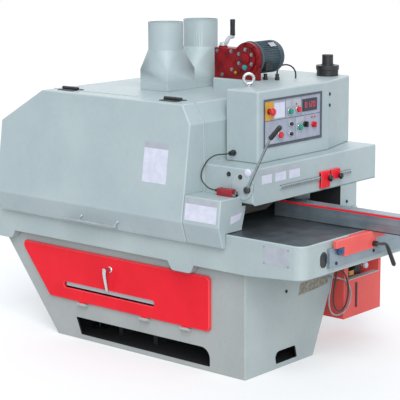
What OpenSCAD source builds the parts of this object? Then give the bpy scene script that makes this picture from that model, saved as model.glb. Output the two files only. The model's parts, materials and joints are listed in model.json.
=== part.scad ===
// Multi rip saw: a through-feed floor machine with a leaning side hood and a lift drive on top.
// Origin on the floor at the centre of the cabinet's footprint, +X to the infeed end,
// -Y to the hood side, +Z up, millimetres.

/* [Base cabinet] */
// Length of the footprint along the feed
base_len = 1400; // [1340:10:1500]
// Width of the footprint across the feed
base_w = 600; // [580:10:640]
// Height of the cabinet up to the bed
base_h = 580; // [560:5:620]
// How far the outfeed end leans out at the top
end_lean = 460; // [420:10:500]
// How far the rear side leans out at the top
side_lean = 260; // [240:10:280]
// Plate thickness of the cabinet
base_wall = 10; // [8:1:12]
// Thickness of the floor plate
floor_t = 12; // [10:1:16]
// Radius of the anchor holes
anchor_r = 9; // [7:0.5:11]
// Inset of the anchor holes from the footprint's edges
anchor_inset = 60; // [50:5:80]

/* [Service door] */
// Height of the door
door_h = 303; // [285:1:310]
// Thickness of the door
door_t = 16; // [12:1:20]
// Gap from the bed down to the door's top edge
door_drop = 54; // [50:1:70]
// Gap from the cabinet's infeed edge to the door
door_margin = 228; // [220:2:260]
// Gap from the leaning edge to the door
door_end_margin = 128; // [110:2:140]
// Corner radius of the door
door_r = 26; // [18:1:32]
// Length of the pull slot
slot_len = 700; // [620:10:720]
// Height of the pull slot
slot_h = 34; // [28:1:38]
// Swing length of the latch lever
latch_len = 125; // [105:5:135]

/* [Bed] */
// Height of the bed casting
bed_h = 200; // [190:2:220]
// Overhang of the bed past the cabinet on the hood side
bed_over = 52; // [46:1:58]
// Reach of the bed past the cabinet at the infeed end
bed_reach = 406; // [390:2:440]
// Width of the bed
bed_w = 1212; // [1200:2:1240]
// Width of the bed in front of the column
bed_front_w = 1000; // [990:2:1020]
// Wall thickness of the casting
bed_wall = 20; // [16:1:24]
// Thickness of the casting's top under the plates
bed_top = 22; // [18:1:26]
// Radius of the bed's infeed corners
corner_r = 60; // [50:1:70]
// Thickness of the table plates
plate_t = 12; // [10:1:14]
// Painted rim left round the table plates
plate_rim = 9; // [7:1:12]
// Drop of the lobes under the bed
lobe_h = 47; // [36:1:50]

/* [Upper body] */
// Length of the body along the feed
body_len = 1439; // [1420:1:1460]
// Distance from the cabinet's infeed face back to the body's face
body_setback = 335; // [325:1:345]
// Height of the body over the table
body_h = 644; // [630:2:660]
// Depth of the body across the feed
body_depth = 1025; // [1015:1:1035]
// Distance from the bed's side to the body's open side
body_inset = 127; // [122:1:132]
// Sheet thickness of body, beam and guard
sheet = 5; // [4:0.5:6]
// Cut of the body's infeed top edge along the feed
near_cut_x = 65; // [55:1:75]
// Cut of the body's infeed top edge in height
near_cut_z = 100; // [80:2:110]
// Cut of the body's outfeed top edge along the feed
far_cut_x = 317; // [290:1:330]
// Cut of the body's outfeed top edge in height
far_cut_z = 194; // [180:2:200]

/* [Hood] */
// How far the hood's bend stands out from the bed's side
hood_bulge = 61; // [56:1:70]
// Lean of the hood's face in degrees
hood_lean = 8; // [7:0.5:9]
// Height of the hood's bend over the table
hood_bend = 41; // [36:1:46]
// How far the hood's lower edge hangs below the table
hood_skirt = 72; // [66:1:80]
// Gap from the bed's side to the hood's lower edge
hood_tuck = 26; // [20:1:32]
// Sheet thickness of the hood
hood_sheet = 4; // [3:0.5:5]
// Gap between the hood and the body
hood_gap = 4; // [3:0.5:5]
// Distance between the posts of the hood's handle
handle_span = 276; // [260:4:320]
// Length of the handle bar
handle_len = 426; // [400:2:440]
// Radius of the handle bar
handle_r = 9; // [7:0.5:11]
// Length of one hood hinge
hinge_len = 120; // [110:2:130]

/* [Mouth and beam] */
// Clear height of the infeed mouth
mouth_h = 135; // [130:1:150]
// Length of the front beam along the feed
beam_len = 323; // [315:1:330]
// Height of the front beam
beam_h = 192; // [186:1:200]
// Width of the front beam
beam_w = 1123; // [1110:1:1130]
// Width of the column under the beam
column_w = 155; // [145:1:165]
// Depth of the column under the beam
column_d = 215; // [200:1:225]
// Distance from the beam's hood-side end to the column
column_y = 783; // [775:1:790]
// Length of the guard beside the mouth
guard_len = 246; // [238:1:252]
// Height of the guard over the table
guard_h = 182; // [174:1:188]

/* [Control box] */
// Depth of the control box along the feed
cab_d = 218; // [212:1:224]
// Height of the control box
cab_h = 381; // [375:1:390]
// Width of the straight front of the control box
cab_w = 626; // [616:1:636]
// Distance from the beam's end to the control box
cab_y = 155; // [150:1:160]
// How far the slanted end runs back
cab_slant = 98; // [90:1:104]
// Width of the control panel
panel_w = 518; // [510:1:526]
// Height of the control panel
panel_h = 258; // [252:1:264]
// Width of the top deck along the feed
deck_len = 420; // [414:1:430]
// Radius of the push button caps
button_r = 15; // [12:0.5:16]
// Radius of the emergency stop's head
estop_r = 20; // [18:0.5:22]
// Travel of a push button
button_travel = 4; // [3:0.5:5]

/* [Dust ports] */
// Distance from the body's infeed face back to the dust pad
pad_back = 495; // [485:1:505]
// Distance from the body's open side to the dust pad
pad_side = 266; // [256:1:276]
// Length of the dust pad along the feed
pad_x = 210; // [200:2:220]
// Width of the dust pad across the feed
pad_y = 460; // [450:2:470]
// Height of the dust pad
pad_h = 45; // [38:1:50]
// Outer radius of the dust spigots
port_r = 99; // [92:1:102]
// Wall of the dust ports
port_wall = 2.5; // [2:0.25:3]
// Height of the square collar of a port
port_collar = 70; // [60:2:80]
// Height of the square-to-round stretch
port_taper = 112; // [100:2:120]
// Height of the round spigot
port_pipe = 152; // [140:2:160]

/* [Lift drive] */
// Radius of the gearbox's round case
gear_r = 92; // [88:1:96]
// Depth of the gearbox's round case
gear_d = 30; // [26:1:34]
// Depth of the gearbox's screw housing
gear_block_d = 95; // [90:1:100]
// Radius of the lift motor
lift_motor_r = 86; // [80:1:90]
// Length of the lift motor
lift_motor_len = 208; // [195:1:220]
// Radius of the lift screw
screw_r = 12; // [10:0.5:13]
// Reach of the crank
crank_reach = 95; // [90:1:100]
// Length of the crank's grip
grip_len = 95; // [80:1:96]

/* [Saw and feed] */
// Distance from the body's infeed face back to the front rollers
front_back = 310; // [304:1:316]
// Distance from the body's infeed face back to the saw arbor
saw_back = 585; // [575:1:590]
// Distance from the body's infeed face back to the rear rollers
rear_back = 860; // [855:1:870]
// Radius of the saw blades
blade_r = 150; // [140:1:152]
// Thickness of a saw blade
blade_t = 4; // [3:0.5:5]
// Distance between saw blades
blade_pitch = 56; // [50:1:58]
// Radius of the arbor
arbor_r = 35; // [32:1:38]
// Radius of the lower feed rollers
feed_r = 60; // [56:1:62]
// Radius of the upper press rollers
press_r = 50; // [46:1:54]
// Length of the rollers
roller_len = 360; // [350:2:364]
// Radius of the arbor pulley
pulley_r = 80; // [74:1:84]
// Radius of the motor pulley
drive_r = 95; // [88:1:98]
// Radius of the main motor
motor_r = 150; // [140:1:156]

/* [Fence and kickback guard] */
// Length of the fence
fence_len = 910; // [880:5:940]
// Height of the fence
fence_h = 94; // [88:1:100]
// Thickness of the fence
fence_t = 80; // [70:1:90]
// Gap from the last finger of the kickback guard to the fence
fence_clear = 22; // [20:1:34]
// Height of the fence rail
rail_h = 100; // [90:2:110]
// Depth of the fence rail
rail_d = 20; // [16:1:24]
// Number of kickback fingers
finger_count = 17; // [13:1:18]
// Length of the kickback lever
lever_len = 322; // [310:2:334]
// Lean of the kickback lever's rod in degrees
lever_lean = 28; // [24:1:32]

/* [Lubrication unit] */
// Length of the tank along the feed
tank_x = 300; // [280:2:310]
// Width of the tank
tank_y = 366; // [350:2:370]
// Height of the closed reservoir
tank_z = 215; // [200:1:225]
// Height of the whole unit under the bed
tank_h = 425; // [410:1:440]

/* [Hidden] */
$fn = 64;
run = 0.05;
slip = 0.3;
eps = 1;

// Paint and metal colours
paint = "#b4c3c4";
base_paint = "#a8acaa";
signal_red = "#ea2e3c";
dark_red = "#8c1920";
black = "#1d1e20";
steel = "#8b949a";
table_steel = "#59646b";
motor_grey = "#5c6f79";

// Cabinet, bed and table
z_table = base_h + bed_h;
base_x1 = base_len / 2;
base_y0 = -base_w / 2;
function end_x(z) = -base_x1 - end_lean * z / base_h;
function side_y(z) = -base_y0 + side_lean * z / base_h;
bed_x0 = end_x(base_h) - bed_over;
bed_x1 = base_x1 + bed_reach;
bed_y0 = base_y0 - bed_over;
bed_y1 = bed_y0 + bed_w;
bed_y2 = bed_y0 + bed_front_w;
seat_w = 40;
end_rise = 27;
end_taper = 360;

// Service door, its slot, latch and hinges
door_z1 = base_h - door_drop;
door_z0 = door_z1 - door_h;
door_x1 = base_x1 - door_margin;
door_gap = 1;
door_back = base_y0 - door_gap;
door_front = door_back - door_t;
door_land = 34;
slot_x = -275;
slot_z = door_z0 + 88;
latch_x = slot_x + 23;
latch_z = slot_z + 144;
latch_out = 50;
latch_hub_r = 15;
pin_r = 5;
door_hinge_z = door_z0 - 12;
door_hinge_y = door_front - 2;
door_hinge_w = 40;
door_hinge_xs = [-480, 0, 300];

// Upper body
body_x1 = base_x1 - body_setback;
body_x0 = body_x1 - body_len;
body_y0 = bed_y0 + body_inset;
body_y1 = body_y0 + body_depth;
body_z1 = z_table + body_h;
work_y1 = 560;
mouth_top = z_table + mouth_h;
lobe_xs = [bed_x0 + 62, body_x1 - 130];

// Hood: bend, upper edge and lower edge
hood_y_bend = bed_y0 - hood_bulge;
hood_z_bend = z_table + hood_bend;
function hood_y(z) = hood_y_bend + (z - hood_z_bend) * tan(hood_lean);
hood_y1 = body_y0 - hood_gap;
hood_low = [bed_y0 - hood_tuck, z_table - hood_skirt];
hinge_y = body_y0 - hood_gap / 2;
hinge_barrel = 10;
hinge_z = body_z1 + hinge_barrel + slip;
hinge_far = 446;
hinge_near = 219;
hinge_xs = [body_x0 + hinge_far, body_x1 - hinge_near];
hinge_leaf = 4;
hinge_reach = 36;
handle_x = body_x1 - 621;
handle_bar_x = handle_x - 50;
handle_z = z_table - 46;
handle_out = 40;
post_lean = 59;

// Beam, column and guard
beam_x1 = body_x1 + beam_len;
beam_y0 = body_y0 + 2;
beam_y1 = beam_y0 + beam_w;
beam_z1 = mouth_top + beam_h;
col_y0 = beam_y0 + column_y;
bed_steps = [body_x1 + 30, beam_x1 + 4];
bed_mid_y1 = col_y0 + column_w + 4;
guard_x0 = body_x1 + hood_gap;
guard_x1 = guard_x0 + guard_len;
guard_z1 = z_table + guard_h;

// Control box, deck and panel
cab_x0 = body_x1 + 15;
cab_x1 = cab_x0 + cab_d;
cab_y0 = beam_y0 + cab_y;
cab_z1 = beam_z1 + cab_h;
deck_x0 = cab_x0 - deck_len;
deck_y0 = 320;
eye_places = [[cab_x0 + 25, cab_y0 + 162, cab_z1], [body_x0 + 474, body_y1 - 240, body_z1]];
spare_gland = [deck_x0 + 312, deck_y0 + 88];
panel_y0 = cab_y0 + 41;
panel_z0 = beam_z1 + 78;
panel_t = 6;
panel_rim = 12;
panel_face = cab_x1 + 1;
stem_r = 8;
cap_h = 12;
estop_at = [panel_y0 + 50, panel_z0 + 191];
saw_start_at = [panel_y0 + 229, panel_z0 + 174];
saw_stop_at = [panel_y0 + 301, panel_z0 + 178];
feed_start_at = [panel_y0 + 316, panel_z0 + 79];
feed_stop_at = [panel_y0 + 143, panel_z0 + 57];
selector_at = [panel_y0 + 366, panel_z0 + 91];
speed_at = [panel_y0 + 441, panel_z0 + 82];

// Dust pad and ports
pad_x1 = body_x1 - pad_back;
pad_x0 = pad_x1 - pad_x;
pad_y0 = body_y0 + pad_side;
port_cx = (pad_x0 + pad_x1) / 2;
port_ys = [pad_y0 + pad_y / 4, pad_y0 + 3 * pad_y / 4];
port_splay = [-13, 60];
port_w = pad_y / 2 - 2;

// Saw arbor, belt, motor
arbor_x = body_x1 - saw_back;
arbor_z = z_table + blade_r - 3;
blade_y0 = -170;
blade_count = 6;
arbor_y0 = blade_y0 - 24;
drive_y = -base_y0;
block_ys = [[drive_y - 95, drive_y - 20], [drive_y + 130, drive_y + 200]];
belt_y = [drive_y + 22, drive_y + 98];
belt_t = 8;
insert_x = [arbor_x - blade_r - 20, arbor_x + blade_r + 20];
flange_h = 10;
flange_t = 4;
motor_z = base_h - motor_r - 30;
motor_y = [drive_y - 490, drive_y - 70];
jack_clear = 40;
motor_shaft_r = 24;

// Rollers, carriage and lift screw
roller_y = [-roller_len / 2, roller_len / 2];
journal_r = 18;
journal = 28;
feed_z = z_table + 1 - feed_r;
front_x = body_x1 - front_back;
rear_x = body_x1 - rear_back;
press_gap = 10;
press_z = z_table + press_gap + press_r;
arm_t = 16;
arm_w = 44;
yoke_z = [arbor_z + blade_r + 30, arbor_z + blade_r + 80];
yoke_y = [-25, 25];
screw_x = front_x - 66;
screw_y = 380;
guide_r = 15;
guide_y = 300;
screw_z0 = arbor_z + 60;

// Gearbox, motor and crank on the deck
gear_x = front_x + 142;
gear_y0 = deck_y0 + 12;
gear_z = cab_z1 + gear_r + 26;
gear_block_x1 = gear_x - lift_motor_r - 14;
gear_block_z1 = cab_z1 + 170;
crank_z = gear_block_z1 + 14;
crank_rise = 30;
crank_turn = 5;
grip_r = 15;

// Kickback guard
kick_x = beam_x1 - sheet - 23;
kick_z = mouth_top + 86;
kick_r = 10;
finger_pitch = 21;
finger_t = 14;
finger_y0 = beam_y0 + 39;
finger_tip = 34;
finger_reach = 195;
hanger_y = finger_y0 + 376;
ear_t = 6;
ear_r = 70;
ear_at = [kick_x - 37, kick_z + 14];
lever_y = beam_y0 - ear_t - 1;
lever_grip = 98;
lever_bend = 16;

// Fence, rail, clamp
fence_x0 = bed_x1 + 314 - fence_len;
fence_z0 = z_table + 2;
fence_y = finger_y0 + (finger_count - 1) * finger_pitch + finger_t + fence_clear;
rail_y = [-150, bed_y2 - 10];
rail_z1 = z_table - 40;
clamp_y = [fence_y - 312, fence_y + 123];
clamp_low_y = [fence_y - 241, fence_y + 43];
clamp_low_z = rail_z1 - 50;
clamp_hook_y = fence_y - 148;
clamp_t = 24;
fence_lever_at = [bed_x1 + rail_d + slip + clamp_t, fence_y + 17, rail_z1 - 26];

// Pointer rail and its clamps
prail_y = [5, 645];
prail_z = mouth_top + 70;
prail_h = 20;
prail_d = 12;
pointer_w = 80;
pointer_d = 18;
pointer_ys = [392, 488];
pointer_drop = [57, 19];
pointer_rise = 36;
pknob_r = 18;
pknob_side = 30;
pknob_z = prail_z - 6;

// Tank
tank_x1 = base_x1 + 30;
tank_y0 = 545;
tank_z1 = base_h;
tank_foot = tank_z1 - tank_h;
tank_wall = 4;

// Routes of the cables and hoses, chosen by hand
switch_at = [guard_x0 + 125, beam_y0 - 43, guard_z1 + 22];
gland_at = [cab_x0 + 57, cab_y0, beam_z1 + 46];
interlock_route = [
    gland_at - [0, 36, 0], gland_at - [0, 46, 0], gland_at - [1, 62, 0], gland_at - [47, 104, 2],
    switch_at + [-120, 40, 132], switch_at + [-120, 4, 83], switch_at + [-100, -8, 43],
    switch_at + [-69, -6, 11], switch_at - [44, 0, 0], switch_at - [20, 0, 0], switch_at
];
motor_gland = [gear_x + 133, deck_y0 + 120, cab_z1];
motor_route = [for (p = [
    [0, 0, 34], [0, 0, 44], [1, 3, 58], [3, 15, 72], [7, 37, 80],
    [12, 66, 81], [17, 100, 72], [21, 128, 52], [23, 140, 26], [23, 140, 0]
]) motor_gland + p];
pump_x = tank_x1 - 80;
pump_z = tank_foot + tank_z + tank_wall;
hose_at = [base_x1, -base_y0, base_h];
hose_top = bed_h - plate_t - bed_top;
hose_routes = [for (route = [
    [[44, 124, hose_top], [44, 124, 120], [44, 124, 40], [44, 120, -80], [44, 102, -180], [44, 84, -260],
     [44, 88, -318], [44, 120, -362], [44, 172, -378], [44, 228, -372], [44, 274, -340], [44, 292, -290],
     [44, 278, -238], [44, 240, -198], [44, 200, -178], [44, 166, -166], [41, 151, -162], [32, 138, -159],
     [19, 129, -157], [6, 126, -156], [0, 126, -156]],
    [[60, 152, hose_top], [60, 152, 120], [60, 152, 40], [60, 144, -60], [60, 120, -160], [60, 102, -240],
     [60, 106, -300], [60, 134, -340], [60, 174, -352], [60, 214, -334], [60, 238, -288], [60, 242, -230],
     [60, 226, -178], [60, 202, -144], [57, 185, -128], [48, 172, -120], [35, 163, -116], [20, 160, -115],
     [8, 160, -115], [0, 160, -115]]
]) [for (p = route) hose_at + p]];
cable_r = 4;
hose_r = 4.5;

// A block from its low corner to its high corner
module block(low, high) translate(low) cube(high - low);
// A profile in x and z, drawn out from y0 to y1
module drawn_y(points, y0, y1)
    translate([0, y1, 0]) rotate([90, 0, 0]) linear_extrude(y1 - y0) polygon(points);
// A profile in y and z, drawn out from x0 to x1
module drawn_x(points, x0, x1)
    translate([x0, 0, 0]) rotate([90, 0, 90]) linear_extrude(x1 - x0) polygon(points);
// Round bars along each axis
module bar_x(r, x0, x1, y, z) translate([x0, y, z]) rotate([0, 90, 0]) cylinder(r = r, h = x1 - x0);
module bar_y(r, y0, y1, x, z) translate([x, y1, z]) rotate([90, 0, 0]) cylinder(r = r, h = y1 - y0);
module bar_z(r, z0, z1, x, y) translate([x, y, z0]) cylinder(r = r, h = z1 - z0);

// Outlines with rounded corners
function unit(v) = v / norm(v);
function corner(a, b, c, r, n) =
    let (u = unit(a - b), w = unit(c - b), half = acos(u * w) / 2,
         o = b + unit(u + w) * r / sin(half),
         p = b + u * r / tan(half) - o, q = b + w * r / tan(half) - o,
         start = atan2(p.y, p.x), turn = atan2(cross(p, q), p * q))
    [for (i = [0:n]) o + r * [cos(start + turn * i / n), sin(start + turn * i / n)]];
function rounded(pts, radii, n = 6) =
    let (m = len(pts))
    [for (i = [0:m - 1])
        each radii[i] > 0
            ? corner(pts[(i + m - 1) % m], pts[i], pts[(i + 1) % m], radii[i], n)
            : [pts[i]]];
function rect(a, b) = [[a.x, a.y], [b.x, a.y], [b.x, b.y], [a.x, b.y]];

// A tube swept along a smooth curve through hand-placed points
function through(p, i, t) =
    let (a = p[max(i - 1, 0)], b = p[i], c = p[i + 1], d = p[min(i + 2, len(p) - 1)])
    0.5 * (2 * b + (c - a) * t + (2 * a - 5 * b + 4 * c - d) * t * t + (3 * b - a - 3 * c + d) * t * t * t);
function curve(p, steps) =
    [for (i = [0:len(p) - 2], j = [0:steps - 1]) through(p, i, j / steps), p[len(p) - 1]];
module tube(route, r, side, steps = 2, sides = 8) {
    path = curve(route, steps);
    m = len(path);
    rings = [for (i = [0:m - 1])
        let (t = unit(path[min(i + 1, m - 1)] - path[max(i - 1, 0)]),
             u = unit(cross(t, side)), w = cross(t, u))
        for (k = [0:sides - 1]) path[i] + r * (cos(360 * k / sides) * u + sin(360 * k / sides) * w)];
    walls = [for (i = [0:m - 2], k = [0:sides - 1])
        let (a = i * sides + k, b = i * sides + (k + 1) % sides)
        each [[a, a + sides, b], [b, a + sides, b + sides]]];
    ends = [[for (k = [0:sides - 1]) k], [for (k = [0:sides - 1]) m * sides - 1 - k]];
    polyhedron(rings, concat(walls, ends), convexity = 6);
}

// Cabinet body shrunk by a wall; the floor is kept and the top left open
module cabinet_form(wall, low, high) {
    end_wall = wall * norm([1, end_lean / base_h]);
    side_wall = wall * norm([1, side_lean / base_h]);
    intersection() {
        drawn_y([[end_x(low) + end_wall, low], [base_x1 - wall, low],
                 [base_x1 - wall, high], [end_x(high) + end_wall, high]], -2 * base_w, 2 * base_w);
        drawn_x([[base_y0 + wall, low], [side_y(low) - side_wall, low],
                 [side_y(high) - side_wall, high], [base_y0 + wall, high]], -2 * base_len, 2 * base_len);
    }
}

// Outline of the door, drawn in by a margin
function door_outline(m) =
    let (x0 = end_x(door_z1) + door_end_margin, x1 = end_x(door_z0) + door_end_margin)
    rounded([[x1 + m, door_z0 + m], [door_x1 - m, door_z0 + m],
             [door_x1 - m, door_z1 - m], [x0 + m * 1.6, door_z1 - m]],
            [door_r, door_r, door_r, door_r]);

module base_cabinet() color(base_paint) difference() {
    cabinet_form(0, 0, base_h);
    cabinet_form(base_wall, floor_t, base_h + eps);
    drawn_y(door_outline(door_land), base_y0 - eps, base_y0 + base_wall + eps);
    drawn_y(rounded([[-506, 30], [base_x1 - 240, 28], [base_x1 - 240, 130], [-546, 128]], [0, 8, 60, 4]),
            base_y0 - eps, base_y0 + base_wall + eps);
    drawn_x(rounded([[-35, 28], [150, 28], [132, 96], [-50, 96]], [6, 6, 12, 34]),
            base_x1 - base_wall - eps, base_x1 + eps);
    for (sx = [-1, 1], sy = [-1, 1])
        bar_z(anchor_r, -eps, floor_t + eps,
              sx * (base_len / 2 - anchor_inset), sy * (base_w / 2 - anchor_inset));
}

// Jacking screws on the floor plate, for levelling
module jack_screws() color(steel)
    for (sx = [-1, 1], sy = [-1, 1]) {
        place = base_len / 2 - 2.4 * anchor_inset;
        x = sx > 0 ? place : min(-place, arbor_x - motor_r - jack_clear);
        y = sy * (base_w / 2 - 3.4 * anchor_inset);
        block([x - 28, y - 28, floor_t], [x + 28, y + 28, floor_t + 22]);
        bar_z(11, floor_t + 22, floor_t + 74, x, y);
        translate([x, y, floor_t + 40]) cylinder(r = 18, h = 14, $fn = 6);
    }

module service_door() color(signal_red) difference() {
    union() {
        drawn_y(door_outline(0), door_front + 5, door_back);
        drawn_y(door_outline(5), door_front, door_front + 5);
        for (x = door_hinge_xs) {
            bar_x(9, x - door_hinge_w / 2, x + door_hinge_w / 2, door_hinge_y, door_hinge_z);
            block([x - door_hinge_w / 2, door_hinge_y, door_hinge_z],
                  [x + door_hinge_w / 2, door_hinge_y + 9, door_z0 + 1]);
        }
    }
    for (x = door_hinge_xs)
        bar_x(pin_r + run, x - door_hinge_w, x + door_hinge_w, door_hinge_y, door_hinge_z);
    translate([slot_x, 0, slot_z])
        drawn_y(rounded(rect([-slot_len / 2, -slot_h / 2], [slot_len / 2, slot_h / 2]),
                        [12, 12, 12, 12]), door_front - eps, door_back + eps);
    bar_y(pin_r + run, door_front - eps, door_back + eps, latch_x, latch_z);
    difference() {
        drawn_y(door_outline(9), door_front + 7, door_back + eps);
        translate([slot_x, 0, slot_z])
            drawn_y(rounded(rect([-slot_len / 2 - 6, -slot_h / 2 - 6], [slot_len / 2 + 6, slot_h / 2 + 6]),
                            [14, 14, 14, 14]), door_front, door_back + 2 * eps);
        bar_y(latch_hub_r, door_front, door_back + 2 * eps, latch_x, latch_z);
    }
}

// Fixed ears of the door's hinges with the pins through them
module door_hinge_pins() color(steel)
    for (x = door_hinge_xs) {
        bar_x(pin_r, x - door_hinge_w / 2 - 14, x + door_hinge_w / 2 + 14, door_hinge_y, door_hinge_z);
        for (s = [-1, 1])
            translate([x + s * (door_hinge_w / 2 + 7), 0, 0]) {
                bar_x(9, -6, 6, door_hinge_y, door_hinge_z);
                block([-6, door_hinge_y, door_hinge_z - 9], [6, base_y0, door_hinge_z + 5]);
            }
    }

// Latch: a stem out of the door and an arm that hangs from its end
module door_latch() color(steel) {
    tip = door_front - latch_out;
    bar_y(pin_r, door_front - 3, door_back - 2, latch_x, latch_z);
    bar_y(latch_hub_r, door_front - 6, door_front - slip, latch_x, latch_z);
    bar_y(10, tip + 4, door_front - 5, latch_x, latch_z);
    translate([0, 0, latch_z])
        drawn_x([[tip - 4, 10], [tip + 14, 12], [tip + 32, -latch_len], [tip + 22, -latch_len],
                 [tip - 6, -12]], latch_x - 8, latch_x + 8);
}

// Plan outline of the bed, drawn in by a margin
module bed_plan(m) {
    r = max(corner_r - m, 1);
    far_r = max(24 - m, 1);
    polygon(rounded([[bed_x0 + m, bed_y0 + m], [bed_x1 - m, bed_y0 + m], [bed_x1 - m, bed_y2 - m],
                     [bed_steps[1] - m, bed_y2 - m], [bed_steps[1] - m, bed_mid_y1 - m],
                     [bed_steps[0] - m, bed_mid_y1 - m], [bed_steps[0] - m, bed_y1 - m],
                     [bed_x0 + m, bed_y1 - m]], [far_r, r, far_r, 0, 0, 0, 0, far_r], 10));
}

// Where a lower roller comes up through plate and casting
module roller_slot(x) {
    half = sqrt(feed_r * feed_r - pow(feed_r - plate_t - 1, 2)) + 3;
    block([x - half, roller_y[0] - 3, z_table - plate_t - eps], [x + half, roller_y[1] + 3, z_table + eps]);
    block([x - feed_r - 3, roller_y[0] - 3, base_h], [x + feed_r + 3, roller_y[1] + 3, z_table - plate_t]);
}

module bed_casting() color(paint) {
    under = z_table - plate_t - bed_top;
    lug_w = 2 * journal_r + 24;
    difference() {
        union() {
            difference() {
                translate([0, 0, base_h]) linear_extrude(bed_h) bed_plan(0);
                difference() {
                    translate([0, 0, base_h - eps]) linear_extrude(under - base_h + eps) bed_plan(bed_wall);
                    difference() {
                        block([end_x(base_h) - 6, base_y0 - 6, base_h - 2 * eps],
                              [base_x1 + 6, side_y(base_h) + 6, under + eps]);
                        block([end_x(base_h) + seat_w, base_y0 + seat_w, base_h - 3 * eps],
                              [base_x1 - seat_w, side_y(base_h) - seat_w, under + 2 * eps]);
                    }
                    block([tank_x1 - tank_x - 10, tank_y0 - 10, base_h - 2 * eps],
                          [tank_x1 + 10, bed_y1, base_h + 30]);
                }
            }
            for (x = lobe_xs)
                drawn_y(rounded([[x, base_h - lobe_h], [x + 130, base_h - lobe_h],
                                 [x + 165, base_h + 10], [x - 35, base_h + 10]], [26, 26, 0, 0]),
                        bed_y0, base_y0 - 4);
            for (x = [front_x, rear_x], y = [roller_y[0] - 4 - journal, roller_y[1] + 4])
                block([x - lug_w / 2, y, feed_z - lug_w / 2], [x + lug_w / 2, y + journal, under + eps]);
        }
        difference() {
            translate([0, 0, z_table - plate_t]) linear_extrude(plate_t + eps) bed_plan(plate_rim);
            block([insert_x[0], bed_y0, z_table - plate_t - eps], [insert_x[1], bed_y1, z_table + 2 * eps]);
        }
        for (x = [front_x, rear_x]) {
            roller_slot(x);
            bar_y(journal_r + run, roller_y[0] - 80, roller_y[1] + 80, x, feed_z);
        }
        block([arbor_x - 90, blade_y0 - 14, under - eps],
              [arbor_x + 90, blade_y0 + (blade_count - 1) * blade_pitch + 14, z_table + eps]);
        drawn_y([[bed_x1 - end_taper, base_h], [bed_x1 - end_taper, base_h - eps],
                 [bed_x1 + eps, base_h - eps], [bed_x1 + eps, base_h + end_rise]],
                bed_y0 - eps, bed_y1 + eps);
        block([arbor_x - drive_r - 20, belt_y[0] - 14, under - eps],
              [arbor_x + drive_r + 20, belt_y[1] + 14, z_table + eps]);
    }
}

module table_plates() color(table_steel)
    difference() {
        translate([0, 0, z_table - plate_t]) linear_extrude(plate_t) bed_plan(plate_rim);
        block([insert_x[0], bed_y0, z_table - plate_t - eps], [insert_x[1], bed_y1, z_table + eps]);
        for (x = [front_x, rear_x]) roller_slot(x);
    }

// Side profile of the body, drawn in by a wall
function body_profile(t, low) =
    let (near = t * (norm([near_cut_x, near_cut_z]) - near_cut_z) / near_cut_x,
         far = t * (norm([far_cut_x, far_cut_z]) - far_cut_z) / far_cut_x,
         near_top = t * (norm([near_cut_x, near_cut_z]) - near_cut_x) / near_cut_z,
         far_top = t * (norm([far_cut_x, far_cut_z]) - far_cut_x) / far_cut_z)
    [[body_x0 + t, low], [body_x1 - t, low], [body_x1 - t, body_z1 - near_cut_z - near],
     [body_x1 - near_cut_x - near_top, body_z1 - t], [body_x0 + far_cut_x + far_top, body_z1 - t],
     [body_x0 + t, body_z1 - far_cut_z - far]];

module upper_body() color(paint) {
    difference() {
        drawn_y(body_profile(0, z_table), body_y0, body_y1);
        drawn_y(body_profile(sheet, z_table - eps), body_y0 - eps, body_y1 - sheet);
        block([body_x1 - sheet - eps, body_y0 + 12, z_table - eps],
              [body_x1 + eps, work_y1, beam_z1 - 22]);
        block([body_x0 - eps, body_y0 + 12, z_table - eps], [body_x0 + sheet + eps, 300, mouth_top]);
        block([pad_x0 + 20, pad_y0 + 20, body_z1 - sheet - eps],
              [pad_x1 - 20, pad_y0 + pad_y - 20, body_z1 + eps]);
        bar_z(screw_r + 6, body_z1 - 2 * sheet, body_z1 + eps, screw_x, screw_y);
    }
    bar_z(guide_r, screw_z0, body_z1 - sheet + 0.5, rear_x, guide_y);
}

// Hood form shrunk by a wall and left open behind
module hood_form(t, back) {
    face = t / cos(hood_lean);
    skirt_run = [hood_low.x - hood_y_bend, hood_z_bend - hood_low.y];
    skirt = t * norm(skirt_run) / skirt_run.y;
    low = hood_low.y - (t > 0 ? eps : 0);
    drop = t > 0 ? eps * skirt_run.x / skirt_run.y : 0;
    intersection() {
        drawn_y(body_profile(t, low), 2 * hood_y_bend, back);
        drawn_x([[hood_low.x + skirt + drop, low], [back, low], [back, body_z1 + eps],
                 [hood_y(body_z1 + eps) + face, body_z1 + eps],
                 [hood_y_bend + max(face, skirt), hood_z_bend]],
                body_x0 - eps, body_x1 + eps);
    }
}

module hood() color(paint)
    difference() {
        hood_form(0, hood_y1);
        hood_form(hood_sheet, hood_y1 + eps);
        block([body_x0 - eps, bed_y0 - 6, z_table - hood_skirt - eps],
              [body_x1 + eps, hood_y1 + eps, z_table + 3]);
    }

module hood_handle() color("silver") {
    bar_x(handle_r, handle_bar_x - handle_len / 2, handle_bar_x + handle_len / 2,
          strip_y(handle_z) - handle_out, handle_z);
    for (s = [-1, 1])
        difference() {
            translate([handle_x + s * handle_span / 2, strip_y(handle_z) - handle_out, handle_z])
                rotate([-post_lean, 0, 0]) cylinder(r = handle_r - 2, h = 2 * handle_out);
            hood_form(0, hood_y1);
        }
}
// Outer face of the hood's lower strip at a height
function strip_y(z) =
    hood_low.x + (z - hood_low.y) * (hood_y_bend - hood_low.x) / (hood_z_bend - hood_low.y);

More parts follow.
